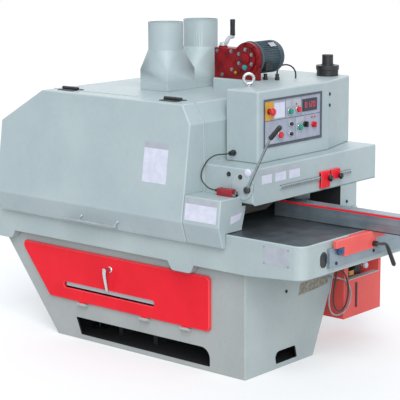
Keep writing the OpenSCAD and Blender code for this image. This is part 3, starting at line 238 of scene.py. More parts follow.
@dataclass(frozen=True)
class Moulding(Finish):
    """Moulded plastic or rubber: an eroded grain and greyer rubbed spots."""

    grain: float = 2.5
    depth: float = 0.08
    sheen: float = 0.0
    glow: float = 0.0
    rub_width: float = 30.0

    def sockets(self, tree: bpy.types.NodeTree, place: bpy.types.NodeSocket) -> Sockets:
        """Build the grain and the rubbed spots.

        Args:
            tree: The material's tree.
            place: Object coordinates in metres.

        Returns:
            Inputs of the shader.
        """
        rub = add(tree, "ShaderNodeTexNoise",
                  {"Vector": place, "Scale": 1 / (self.rub_width * MM), "Detail": 4.0})
        spread = add(tree, "ShaderNodeMapRange", {"Value": rub.outputs[0], "From Min": 0.35, "From Max": 0.7})
        colour = add(tree, "ShaderNodeMix",
                     {0: spread.outputs[0], 6: linear(self.colour), 7: linear(self.tone)},
                     data_type="RGBA")
        rough = add(tree, "ShaderNodeMapRange",
                    {"Value": rub.outputs[0], "From Min": 0.3, "From Max": 0.7,
                     "To Min": max(self.roughness - 0.06, 0.04), "To Max": min(self.roughness + 0.08, 1.0)})
        # Spark-eroded grain is near 0.2 mm; it is drawn coarser so that it shows.
        grain = add(tree, "ShaderNodeTexVoronoi", {"Vector": place, "Scale": 1 / (self.grain * MM)})
        bump = add(tree, "ShaderNodeBump",
                   {"Strength": 0.3, "Distance": self.depth * MM, "Height": grain.outputs[0]})
        return {"Base Color": colour.outputs[2], "Roughness": rough.outputs[0], "Normal": bump.outputs[0],
                "IOR": 1.49, "Sheen Weight": self.sheen, "Emission Color": linear(self.colour),
                "Emission Strength": self.glow}


@dataclass(frozen=True)
class Residue(Finish):
    """What a plate that was pulled off leaves behind: glue, primer and bare spots in blotches."""

    third: str = "#6f6350"
    blotch: float = 26.0

    def sockets(self, tree: bpy.types.NodeTree, place: bpy.types.NodeSocket) -> Sockets:
        """Build the blotches.

        Args:
            tree: The material's tree.
            place: Object coordinates in metres.

        Returns:
            Inputs of the shader.
        """
        wide = add(tree, "ShaderNodeTexNoise",
                   {"Vector": place, "Scale": 1 / (self.blotch * MM), "Detail": 6.0, "Roughness": 0.7})
        split = add(tree, "ShaderNodeMapRange",
                    {"Value": wide.outputs[0], "From Min": 0.44, "From Max": 0.56})
        two = add(tree, "ShaderNodeMix", {0: split.outputs[0], 6: linear(self.colour), 7: linear(self.tone)},
                  data_type="RGBA")
        fine = add(tree, "ShaderNodeTexNoise",
                   {"Vector": place, "Scale": 2.6 / (self.blotch * MM), "Detail": 4.0, "Roughness": 0.7})
        spots = add(tree, "ShaderNodeMapRange",
                    {"Value": fine.outputs[0], "From Min": 0.56, "From Max": 0.66})
        three = add(tree, "ShaderNodeMix", {0: spots.outputs[0], 6: two.outputs[2], 7: linear(self.third)},
                    data_type="RGBA")
        bump = add(tree, "ShaderNodeBump", {"Strength": 0.6, "Distance": 0.5 * MM, "Height": fine.outputs[0]})
        return {"Base Color": three.outputs[2], "Roughness": self.roughness, "Normal": bump.outputs[0]}


# Two-pack enamel, satin, on folded sheet: a cool pale grey that drifts slightly and scatters the light.
SHEET_GREY = Enamel("grey_enamel_on_folded_sheet", "#b4c2c3", "#abbabc", 0.42)
# The same paint on rounded folds and edges: a shade paler and glossier, partly rubbed wear and partly a
# painted highlight.
SHEET_WORN_AND_HIGHLIGHTED = Enamel("grey_enamel_worn_and_highlighted_edge", "#b9c6c7", "#b0bec0", 0.38, dust=0.04)
# Enamel over filler on grey cast iron: same colour, longer waves in the skin.
CAST_GREY = Enamel("grey_enamel_on_cast_iron", "#b6c3c2", "#abb9b9", 0.44, peel=9.0, depth=0.25)
# Enamel on welded plate near the floor: dustier, and warmer with a painted reflection of the floor.
PLATE_GREY = Enamel("grey_enamel_with_painted_floor_reflection", "#aeb3b0", "#a4aaa8", 0.46, dust=0.16, peel=6.0)
# Edges of the welded plate: paler, partly rubbed wear and partly a painted highlight.
PLATE_WORN_AND_HIGHLIGHTED = Enamel("plate_enamel_worn_and_highlighted_edge", "#b1b7b4", "#a8aeac", 0.42, dust=0.06)
# The same plate on the cabinet's infeed end, lighter and bluer: painted light on that side.
PLATE_END_LIT = Enamel("grey_enamel_painted_light_on_end", "#b9c3c2", "#afbaba", 0.46, dust=0.1, peel=6.0)
# Painted shade inside the sheet metal, in hollows and on faces that stand in shadow: nearly black, dull.
PAINTED_SHADE = Enamel("painted_shade_inside", "#23262a", "#17191c", 0.85, grime="#34302c", dust=0.3)
# Gloss enamel in signal red: deep colour under a clear shine.
SIGNAL_RED = Enamel("signal_red_gloss_enamel", "#f62232", "#ec1c2d", 0.4,
                    grime="#b8222d", dust=0.03, shine=0.2)
# The door's folded edge, painted paler: a painted highlight where the gloss catches the light.
RED_EDGE_HIGHLIGHT = Enamel("signal_red_painted_edge_highlight", "#f35a60", "#ec4851", 0.34,
                    grime="#c44a50", dust=0.03, coat=0.1, shine=0.35)
# The oiler's and the clamp's red: lighter and nearer to coral, partly painted light on the tank's front.
CORAL_RED = Enamel("coral_red_enamel_with_painted_light", "#f3665f", "#ea5954", 0.42,
                   grime="#b8423e", dust=0.06, shine=0.3)
# Rounded edges of the coral red, painted paler: a painted highlight.
CORAL_EDGE_HIGHLIGHT = Enamel("coral_red_painted_edge_highlight", "#f57a72", "#ef6962", 0.38,
                      grime="#cf625c", dust=0.04, shine=0.3)
# Gloss enamel on the gear case: dark red over a rough casting.
GEAR_RED = Enamel("dark_red_enamel_on_casting", "#95101a", "#6c0b13", 0.34, grime="#3a0b0f", dust=0.4,
                  patch=45.0, peel=9.0, depth=0.9, coat=0.06, shine=0.2)
# Hammer enamel on the lift motor, the bearings and the carriage: slate blue with a pebbled skin.
MOTOR_SLATE = Enamel("slate_hammer_enamel", "#4a5c65", "#3d4d55", 0.48, grime="#2d363b", dust=0.2, patch=70.0,
                     peel=8.0, depth=0.4, shine=0.35)
# Ground cast iron of the table: dark, with long marks along the feed.
TABLE_IRON = WorkedMetal("ground_cast_iron", "#646e75", "#51595f", 0.44,
                         streak=(420.0, 6.0, 6.0), metallic=0.75)
# Turned and milled steel: bright, with short marks.
BRIGHT_STEEL = WorkedMetal("turned_steel", "#9aa0a4", "#7d8488", 0.36, streak=(30.0, 4.0, 30.0))
# Oiled dark steel of rollers and screws.
DARK_STEEL = WorkedMetal("oiled_dark_steel", "#565a5c", "#3d4143", 0.46, streak=(12.0, 40.0, 12.0))
# Forged fingers, brown with pitch and sawdust.
PITCHED_STEEL = WorkedMetal("steel_brown_with_pitch", "#a39f94", "#86827a", 0.55,
                            streak=(12.0, 40.0, 12.0), metallic=0.4)
# Clear anodised rail: paler and bluer than the fence.
RAIL_ALLOY = WorkedMetal("clear_anodised_rail", "#98a7b0", "#8997a1", 0.42,
                         streak=(5.0, 400.0, 5.0), metallic=0.45)
# Tumbled alloy casting of the crank and the milled pointer rail: pale, dull silver.
CAST_ALLOY = WorkedMetal("tumbled_cast_alloy", "#c3c9cc", "#b2b9bd", 0.42,
                         streak=(20.0, 20.0, 20.0), metallic=0.3)
# Satin plated bar of the hood's handle: a pale grey without a mirror.
BAR_STEEL = WorkedMetal("plated_handle_bar", "#b0b8bc", "#9aa3a8", 0.38,
                        streak=(60.0, 14.0, 14.0), metallic=0.45)
# Blued key of the clamp.
BLUED_STEEL = WorkedMetal("blued_steel", "#4a6a93", "#36527a", 0.42, streak=(20.0, 20.0, 6.0), metallic=0.6)
# Anodised aluminium extrusion of the fence: blue-grey satin with lines along its length.
FENCE_ALLOY = WorkedMetal("anodised_aluminium", "#8f9ba3", "#7d8a93", 0.40,
                          streak=(500.0, 5.0, 5.0), metallic=0.7)
# Chromed steel of the latch and the lifting eyes: mirror with faint smears.
CHROME = WorkedMetal("chromed_steel", "#d3d6d8", "#bfc4c7", 0.16, streak=(60.0, 14.0, 14.0))
# Zinc-plated rod of the guard lever: soft grey shine.
ZINC = WorkedMetal("zinc_plated_rod", "#a3abae", "#8b9396", 0.33, streak=(8.0, 8.0, 90.0))
# Brass fitting of the pump.
BRASS = WorkedMetal("turned_brass", "#c9a23c", "#a98428", 0.34, streak=(6.0, 6.0, 24.0))
# Phosphated black steel of the hinges, the rail's bolts and the saw motor.
BLACK_STEEL = Enamel("black_phosphated_steel", "#2b2f33", "#1d2023", 0.5,
                     grime="#4a4d4e", dust=0.25, patch=40.0)
# Glass-filled nylon: black with a fine grain.
BLACK_NYLON = Moulding("black_glass_filled_nylon", "#1c1d1f", "#2c2e30", 0.42)
# Phenolic ball knobs: black with a hard shine.
BLACK_PHENOLIC = Moulding("black_phenolic", "#121314", "#1d1f20", 0.2, grain=6.0, depth=0.02)
# Gloss ABS caps.
RED_ABS = Moulding("red_abs", "#d8232d", "#c41d28", 0.26, grain=4.0, depth=0.02)
GREEN_ABS = Moulding("green_abs", "#1f9c80", "#178a70", 0.26, grain=4.0, depth=0.02)
TEAL_ABS = Moulding("teal_plug", "#2f9a9c", "#25888a", 0.3, grain=4.0, depth=0.02)
# Switch housing in dark red thermoset: duller than ABS.
SWITCH_RED = Moulding("dark_red_thermoset", "#a3222d", "#8a1a25", 0.4)
# PVC and rubber leads: dull black, greyer where they rub.
BLACK_PVC = Moulding("black_pvc", "#191a1b", "#2a2b2c", 0.55, sheen=0.15)
BLACK_RUBBER = Moulding("black_rubber", "#1b1b1b", "#2e2d2c", 0.72, sheen=0.25)
# Polyurethane tube of the oiler: pale grey, waxy.
PALE_TUBE = Moulding("pale_polyurethane_tube", "#a9adb0", "#979b9f", 0.35)
# Polyester films: bare instruction plates, the panel's face and its coloured fields.
WHITE_FILM = Enamel("white_polyester_film", "#dfe0ee", "#d3d5e4", 0.38, grime="#b9bccb", dust=0.2, patch=40.0,
                    peel=9.0, depth=0.03)
SILVER_FILM = Enamel("silver_polyester_film", "#b9bdc4", "#acb1b9", 0.34,
                     grime="#969ba3", dust=0.2, patch=50.0)
PANEL_FILM = Enamel("lilac_grey_panel_film", "#a9afbf", "#9ba2b3", 0.36,
                    grime="#868ca0", dust=0.16, patch=50.0)
YELLOW_FILM = Enamel("yellow_polyester_film", "#dba52d", "#cd9624", 0.36,
                     grime="#a87c28", dust=0.16, patch=30.0)
# Extruded bezel of the panel, black anodised.
BEZEL = Enamel("black_anodised_bezel", "#4b535d", "#3a4149", 0.4, grime="#5d656d", dust=0.2, patch=30.0)
# Smoked acrylic over the counter, and its lit segments.
SMOKED = Moulding("smoked_acrylic", "#232b45", "#1b2136", 0.14, grain=9.0, depth=0.01)
LIT_RED = Moulding("lit_red_segments", "#e2313c", "#c92a35", 0.4, glow=0.5)
# What a removed plate left on the cabinet's end.
GLUE = Residue("glue_and_bare_spots", "#a7a79c", "#8d8676", 0.7)


class Axis(Enum):
    """Directions along which a turned form or a fastener stands."""

    X = (1.0, 0.0, 0.0)
    BACK_X = (-1.0, 0.0, 0.0)
    Y = (0.0, 1.0, 0.0)
    BACK_Y = (0.0, -1.0, 0.0)
    Z = (0.0, 0.0, 1.0)

    def frame(self, at: Point) -> Matrix:
        """Turn local Z to this direction and move the origin to a point."""
        turn = Vector(self.value).to_track_quat("Z", "Y").to_matrix().to_4x4()
        return Matrix.Translation(Vector(at)) @ turn


@dataclass(frozen=True)
class Zone:
    """Faces of a piece that carry another finish, told by their centre in millimetres and their normal."""

    finish: Finish
    holds: Callable[[Vector, Vector], bool]


def even_normals(mesh: bpy.types.Mesh, sharp: float) -> bpy.types.Mesh:
    """Shade flat faces flat and rounded edges round.

    Args:
        mesh: Mesh in metres with its finishes; it is used up.
        sharp: Angle in degrees from which an edge stays sharp.

    Returns:
        The mesh with weighted corner normals.
    """
    mesh.shade_smooth()
    mesh.set_sharp_from_angle(angle=math.radians(sharp))
    holder = bpy.data.objects.new("normals", mesh)
    bpy.context.scene.collection.objects.link(holder)
    weigh = holder.modifiers.new("weigh", "WEIGHTED_NORMAL")
    weigh.keep_sharp = True
    graph = bpy.context.evaluated_depsgraph_get()
    even = bpy.data.meshes.new_from_object(holder.evaluated_get(graph), preserve_all_data_layers=True,
                                           depsgraph=graph)
    bpy.data.objects.remove(holder)
    return even


def present(name: str, mesh: bpy.types.Mesh, body: str,
            nodes: Sequence[str] = ()) -> bpy.types.Object:
    """Make a finished mesh a piece of the machine.

    Args:
        name: Name of the piece.
        mesh: Its mesh in metres, with its finishes.
        body: Body that the piece moves with.
        nodes: Solids that the piece stands for.

    Returns:
        The piece.
    """
    mesh.name = name
    piece = bpy.data.objects.new(name, mesh)
    bpy.context.scene.collection.objects.link(piece)
    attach(piece, body)
    if nodes:
        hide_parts(*nodes)
    LOG.info("%s: %d faces on %s", name, len(mesh.polygons), body)
    return piece


def rounds(edge: bmesh.types.BMEdge, wide: float) -> bool:
    """Tell whether an edge is an outer corner between two faces that both reach far enough from it.

    Args:
        edge: Edge of a shell in metres.
        wide: Least reach of both faces in millimetres.

    Returns:
        True where the edge may be rounded.
    """
    if len(edge.link_faces) != 2 or not edge.is_convex or edge.calc_face_angle(0.0) < math.radians(CORNER):
        return False
    start = edge.verts[0].co
    along = (edge.verts[1].co - start).normalized()
    for face in edge.link_faces:
        reach = max(((v.co - start) - along * (v.co - start).dot(along)).length for v in face.verts)
        if reach < wide * MM:
            return False
    return True


def softened(node: str, finish: Finish, width: float = 0.0, rubbed: Optional[Finish] = None,
             zones: Sequence[Zone] = (), sharp: float = 35.0, wide: float = 12.0) -> bpy.types.Object:
    """Stand a copy of a solid in for it, with its outer corners rounded as on the real piece.

    Args:
        node: The solid's name.
        finish: Its finish.
        width: Width of the rounding in millimetres; none if zero.
        rubbed: Finish of the rounded corners, if it differs; a paler one paints a highlight on them.
        zones: Faces with another finish.
        sharp: Angle in degrees from which an edge stays sharp.
        wide: Least reach in millimetres of faces whose corner is rounded.

    Returns:
        The piece.
    """
    shell = bmesh.new()
    shell.from_mesh(frame["nodes"][node].data)
    bmesh.ops.remove_doubles(shell, verts=shell.verts, dist=WELD * MM)
    bmesh.ops.dissolve_limit(shell, angle_limit=math.radians(FLAT), verts=shell.verts, edges=shell.edges)
    for face in shell.faces:
        face.material_index = 0
    corners = [edge for edge in shell.edges if rounds(edge, wide)] if width else []
    if corners:
        bmesh.ops.bevel(shell, geom=corners, offset=width * MM, offset_type="OFFSET", segments=3, profile=0.5,
                        affect="EDGES", clamp_overlap=False, loop_slide=True, material=1 if rubbed else 0)
    finishes = [finish, rubbed or finish, *[zone.finish for zone in zones]]
    for face in shell.faces:
        centre = face.calc_center_median() / MM
        for index, zone in enumerate(zones):
            if zone.holds(centre, face.normal):
                face.material_index = 2 + index
    mesh = bpy.data.meshes.new(node)
    shell.to_mesh(mesh)
    shell.free()
    for entry in finishes:
        mesh.materials.append(entry.material())
    return present("dressed_" + node, even_normals(mesh, sharp), BODY_OF[node], [node])


def coated(finish: Finish, *nodes: str) -> None:
    """Give solids that keep their own shape a finish.

    Args:
        finish: The finish.
        *nodes: Names of the solids.
    """
    for node in nodes:
        solid = frame["nodes"][node]
        solid.data.materials.clear()
        solid.data.materials.append(finish.material())
        LOG.info("%s: coated with %s", node, finish.name)


class Form:
    """A piece under construction, in millimetres of the machine's frame."""

    def __init__(self) -> None:
        """Start with nothing."""
        self.mesh = bmesh.new()

    def _take(self, part: bmesh.types.BMesh, turn: Matrix, finish: int) -> None:
        """Close a part, point its faces outwards, and add it.

        Args:
            part: The part's mesh; it is used up.
            turn: Place of the part.
            finish: Index of its finish.
        """
        bmesh.ops.remove_doubles(part, verts=part.verts, dist=1e-4)
        bmesh.ops.recalc_face_normals(part, faces=part.faces)
        for face in part.faces:
            face.material_index = finish
        part.transform(turn)
        carrier = bpy.data.meshes.new("carrier")
        part.to_mesh(carrier)
        part.free()
        self.mesh.from_mesh(carrier)
        bpy.data.meshes.remove(carrier)

    def block(self, low: Point, high: Point, rounding: float = 0.0, finish: int = 0) -> "Form":
        """Add a block with rounded edges between two corners.

        Args:
            low: Its lowest corner.
            high: Its highest corner.
            rounding: Width of the rounding; none if zero.
            finish: Index of its finish.

        Returns:
            The form itself.
        """
        size = Vector(high) - Vector(low)
        part = bmesh.new()
        bmesh.ops.create_cube(part, size=1.0, matrix=Matrix.Diagonal((*size, 1.0)))
        if rounding:
            bmesh.ops.bevel(part, geom=part.edges[:], offset=rounding, offset_type="OFFSET", segments=2,
                            profile=0.5, affect="EDGES", clamp_overlap=True)
        self._take(part, Matrix.Translation((Vector(low) + Vector(high)) / 2), finish)
        return self

    def prism(self, outline: Sequence[Point], run: Point, rounding: float = 0.0, finish: int = 0) -> "Form":
        """Add a flat outline drawn out along a vector.

        Args:
            outline: Corners of the outline.
            run: The vector.
            rounding: Width of the rounding; none if zero.
            finish: Index of its finish.

        Returns:
            The form itself.
        """
        part = bmesh.new()
        face = part.faces.new([part.verts.new(Vector(p)) for p in outline])
        drawn = bmesh.ops.extrude_face_region(part, geom=[face])
        bmesh.ops.translate(part, vec=Vector(run),
                            verts=[v for v in drawn["geom"] if isinstance(v, bmesh.types.BMVert)])
        if rounding:
            bmesh.ops.recalc_face_normals(part, faces=part.faces)
            edges = [edge for edge in part.edges if edge.calc_face_angle(0.0) > math.radians(OUTLINE_CORNER)]
            bmesh.ops.bevel(part, geom=edges, offset=rounding, offset_type="OFFSET", segments=2, profile=0.5,
                            affect="EDGES", clamp_overlap=True)
        self._take(part, Matrix.Identity(4), finish)
        return self

    def turned(self, profile: Sequence[Pair], at: Point, axis: Axis, finish: int = 0,
               sides: int = 36, closed: bool = False) -> "Form":
        """Add a turned form.

        Args:
            profile: Radius and height, from one end to the other.
            at: Origin of the heights.
            axis: Direction of the heights.
            finish: Index of its finish.
            sides: Facets round it.
            closed: True for a ring, whose profile comes back to its start.

        Returns:
            The form itself.
        """
        part = bmesh.new()
        rings = []
        turns = [math.tau * k / sides for k in range(sides)]
        for radius, height in profile:
            ring = [(radius * math.cos(a), radius * math.sin(a), height) for a in turns]
            rings.append([part.verts.new(corner) for corner in ring])
        pairs = list(zip(rings, rings[1:])) + ([(rings[-1], rings[0])] if closed else [])
        for lower, upper in pairs:
            for k in range(sides):
                n = (k + 1) % sides
                part.faces.new((lower[k], lower[n], upper[n], upper[k]))
        if not closed:
            part.faces.new(rings[0][::-1])
            part.faces.new(rings[-1])
        self._take(part, axis.frame(at), finish)
        return self

    def swept(self, path: Sequence[Point], radii: Union[float, Sequence[float]], finish: int = 0,
              sides: int = 14) -> "Form":
        """Add a round bar along a path.

        Args:
            path: Points of its centre line.
            radii: One radius, or one for each point.
            finish: Index of its finish.
            sides: Facets round it.

        Returns:
            The form itself.
        """
        points = [Vector(p) for p in path]
        sizes = [radii] * len(points) if isinstance(radii, (int, float)) else list(radii)
        part = bmesh.new()
        rings = []
        last = (points[1] - points[0]).normalized()
        side = last.orthogonal().normalized()
        for i, point in enumerate(points):
            ahead = (points[min(i + 1, len(points) - 1)] - points[max(i - 1, 0)]).normalized()
            side = last.rotation_difference(ahead) @ side
            last = ahead
            other = ahead.cross(side)
            rings.append([part.verts.new(point + sizes[i] * (math.cos(math.tau * k / sides) * side
                                                             + math.sin(math.tau * k / sides) * other))
                          for k in range(sides)])
        for lower, upper in zip(rings, rings[1:]):
            for k in range(sides):
                n = (k + 1) % sides
                part.faces.new((lower[k], lower[n], upper[n], upper[k]))
        part.faces.new(rings[0][::-1])
        part.faces.new(rings[-1])
        self._take(part, Matrix.Identity(4), finish)
        return self

    def piece(self, name: str, body: str, slot: str, finishes: Sequence[Finish], nodes: Sequence[str] = (),
              sharp: float = 38.0) -> bpy.types.Object:
        """Finish the form as a piece of the machine.

        Args:
            name: Name of the piece.
            body: Body that the piece moves with.
            slot: Material slot of the record; not used.
            finishes: Finishes by index.
            nodes: Solids that the piece stands for.
            sharp: Angle in degrees from which an edge stays sharp.

        Returns:
            The piece.
        """
        self.mesh.transform(Matrix.Scale(MM, 4))
        mesh = bpy.data.meshes.new(name)
        self.mesh.to_mesh(mesh)
        self.mesh.free()
        for finish in finishes:
            mesh.materials.append(finish.material())
        return present(name, even_normals(mesh, sharp), body, nodes)


class NodeTool:
    """A tree of geometry nodes with named inputs, run once to a plain mesh."""

    def __init__(self, name: str, inputs: dict[str, str]) -> None:
        """Start the tree.

        Args:
            name: Name of the tree.
            inputs: Input name to the type of its socket.
        """
        self.tree = bpy.data.node_groups.new(name, "GeometryNodeTree")
        self.keys: dict[str, str] = {}
        self.tree.interface.new_socket("Geometry", in_out="INPUT", socket_type="NodeSocketGeometry")
        self.tree.interface.new_socket("Geometry", in_out="OUTPUT", socket_type="NodeSocketGeometry")
        for label, kind in {**inputs, "Finish": "NodeSocketMaterial"}.items():
            socket = self.tree.interface.new_socket(label, in_out="INPUT", socket_type=kind)
            self.keys[label] = socket.identifier
        self.given = add(self.tree, "NodeGroupInput").outputs

    def close(self, instances: bpy.types.NodeSocket) -> "NodeTool":
        """Realize the instances, set their finish and end the tree.

        Args:
            instances: Socket that gives the instances.

        Returns:
            The tool itself.
        """
        real = add(self.tree, "GeometryNodeRealizeInstances", {"Geometry": instances})
        coat = add(self.tree, "GeometryNodeSetMaterial",
                   {"Geometry": real.outputs[0], "Material": self.given["Finish"]})
        add(self.tree, "NodeGroupOutput", {0: coat.outputs[0]})
        return self

    def run(self, values: dict[str, object], points: Optional[bpy.types.Mesh] = None) -> bpy.types.Mesh:
        """Evaluate the tree.

        Args:
            values: Input name to its value.
            points: Mesh that the tree works on, if it needs one.

        Returns:
            A plain mesh in metres.
        """
        holder = bpy.data.objects.new("holder", points or bpy.data.meshes.new("empty"))
        bpy.context.scene.collection.objects.link(holder)
        nodes = holder.modifiers.new("nodes", "NODES")
        nodes.node_group = self.tree
        for label, value in values.items():
            nodes[self.keys[label]] = value
        graph = bpy.context.evaluated_depsgraph_get()
        made = bpy.data.meshes.new_from_object(holder.evaluated_get(graph), preserve_all_data_layers=True,
                                               depsgraph=graph)
        bpy.data.objects.remove(holder)
        return made


class Fasteners:
    """Hexagon heads on washers, set on points by one tree."""

    def __init__(self) -> None:
        """Build the tree: a washer and a head, turned to each point's facing."""
        self.tool = NodeTool("fasteners", {"Head radius": "NodeSocketFloat", "Head height": "NodeSocketFloat",
                                           "Washer radius": "NodeSocketFloat", "Sides": "NodeSocketInt"})
        tree, given = self.tool.tree, self.tool.given
        washer = add(tree, "GeometryNodeMeshCylinder",
                     {"Vertices": 20, "Radius": given["Washer radius"], "Depth": 3 * MM})
        head = add(tree, "GeometryNodeMeshCylinder",
                   {"Vertices": given["Sides"], "Radius": given["Head radius"],
                    "Depth": given["Head height"]})
        half = add(tree, "ShaderNodeMath", {0: given["Head height"], 1: 0.5}, operation="MULTIPLY")
        lift = add(tree, "ShaderNodeCombineXYZ", {"Z": half.outputs[0]})
        raised = add(tree, "GeometryNodeTransform",
                     {"Geometry": head.outputs[0], "Translation": lift.outputs[0]})
        joined = add(tree, "GeometryNodeJoinGeometry", {0: washer.outputs[0]})
        tree.links.new(raised.outputs[0], joined.inputs[0])
        facing = add(tree, "GeometryNodeInputNamedAttribute", {"Name": "facing"}, data_type="FLOAT_VECTOR")
        turn = add(tree, "FunctionNodeAlignRotationToVector", {"Vector": facing.outputs[0]}, axis="Z")
        placed = add(tree, "GeometryNodeInstanceOnPoints",
                     {"Points": given["Geometry"], "Instance": joined.outputs[0],
                      "Rotation": turn.outputs[0]})
        self.tool.close(placed.outputs[0])

    def place(self, name: str, body: str, slot: str, finish: Finish, spots: Sequence[Point], facing: Point,
              head: float, height: float, sides: int = 6, washer: float = 1.45) -> bpy.types.Object:
        """Set fasteners at places that all face one way.

        Args:
            name: Name of the piece.
            body: Body that it moves with.
            slot: Material slot of the record; not used.
            finish: Its finish.
            spots: Places in millimetres.
            facing: Direction that the heads face.
            head: Radius of a head in millimetres.
            height: Height of a head in millimetres.
            sides: Sides of a head.
            washer: Radius of the washer over that of the head.

        Returns:
            The piece.
        """
        points = bpy.data.meshes.new("spots")
        points.from_pydata([tuple(Vector(spot) * MM) for spot in spots], [], [])
        away = points.attributes.new("facing", "FLOAT_VECTOR", "POINT")
        for row in away.data:
            row.vector = Vector(facing).normalized()
        mesh = self.tool.run({"Head radius": head * MM, "Head height": height * MM, "Sides": sides,
                              "Washer radius": head * washer * MM, "Finish": finish.material()}, points)
        return present(name, even_normals(mesh, CREASE), body)


class Fins:
    """Thin ribs set round an axis by one tree."""

    def __init__(self) -> None:
        """Build the tree: a block on each point of a circle, turned outwards."""
        self.tool = NodeTool("fins", {"Count": "NodeSocketInt", "Radius": "NodeSocketFloat",
                                      "Size": "NodeSocketVector"})
        tree, given = self.tool.tree, self.tool.given
        circle = add(tree, "GeometryNodeMeshCircle", {"Vertices": given["Count"], "Radius": given["Radius"]})
        rib = add(tree, "GeometryNodeMeshCube", {"Size": given["Size"]})
        where = add(tree, "GeometryNodeInputPosition")
        turn = add(tree, "FunctionNodeAlignRotationToVector",
                   {"Vector": where.outputs[0]}, axis="X", pivot_axis="Z")
        placed = add(tree, "GeometryNodeInstanceOnPoints",
                     {"Points": circle.outputs[0], "Instance": rib.outputs[0], "Rotation": turn.outputs[0]})
        self.tool.close(placed.outputs[0])

    def place(self, name: str, body: str, slot: str, finish: Finish, at: Point, axis: Axis, count: int,
              radius: float, size: Point) -> bpy.types.Object:
        """Set ribs round an axis.

        Args:
            name: Name of the piece.
            body: Body that it moves with.
            slot: Material slot of the record; not used.
            finish: Its finish.
            at: Middle of the ribs in millimetres.
            axis: Axis that they stand round.
            count: Number of ribs.
            radius: Radius of their middles in millimetres.
            size: Height, thickness and length of one in millimetres.

        Returns:
            The piece.
        """
        mesh = self.tool.run({"Count": count, "Radius": radius * MM, "Size": tuple(s * MM for s in size),
                              "Finish": finish.material()})
        mesh.transform(axis.frame(Vector(at) * MM))
        return present(name, even_normals(mesh, CREASE), body)


class Teeth:
    """A row of equal blocks set along a line by one tree."""

    def __init__(self) -> None:
        """Build the tree: a block on each point of a line."""
        self.tool = NodeTool("teeth", {"Count": "NodeSocketInt", "Start": "NodeSocketVector",
                                       "Step": "NodeSocketVector", "Size": "NodeSocketVector"})
        tree, given = self.tool.tree, self.tool.given
        line = add(tree, "GeometryNodeMeshLine",
                   {"Count": given["Count"], "Start Location": given["Start"], "Offset": given["Step"]})
        tooth = add(tree, "GeometryNodeMeshCube", {"Size": given["Size"]})
        placed = add(tree, "GeometryNodeInstanceOnPoints",
                     {"Points": line.outputs[0], "Instance": tooth.outputs[0]})
        self.tool.close(placed.outputs[0])

    def place(self, name: str, body: str, slot: str, finish: Finish, count: int, start: Point, step: Point,
              size: Point) -> bpy.types.Object:
        """Set blocks along a line.

        Args:
            name: Name of the piece.
            body: Body that it moves with.
            slot: Material slot of the record; not used.
            finish: Its finish.
            count: Number of blocks.
            start: Middle of the first in millimetres.
            step: From one to the next in millimetres.
            size: Size of one in millimetres.

        Returns:
            The piece.
        """
        values = {"Start": start, "Step": step, "Size": size}
        mesh = self.tool.run({"Count": count, "Finish": finish.material(),
                              **{key: tuple(v * MM for v in value) for key, value in values.items()}})
        return present(name, even_normals(mesh, CREASE), body)


@dataclass
class Tools:
    """The three trees that set what repeats."""

    fasteners: Fasteners
    fins: Fins
    teeth: Teeth


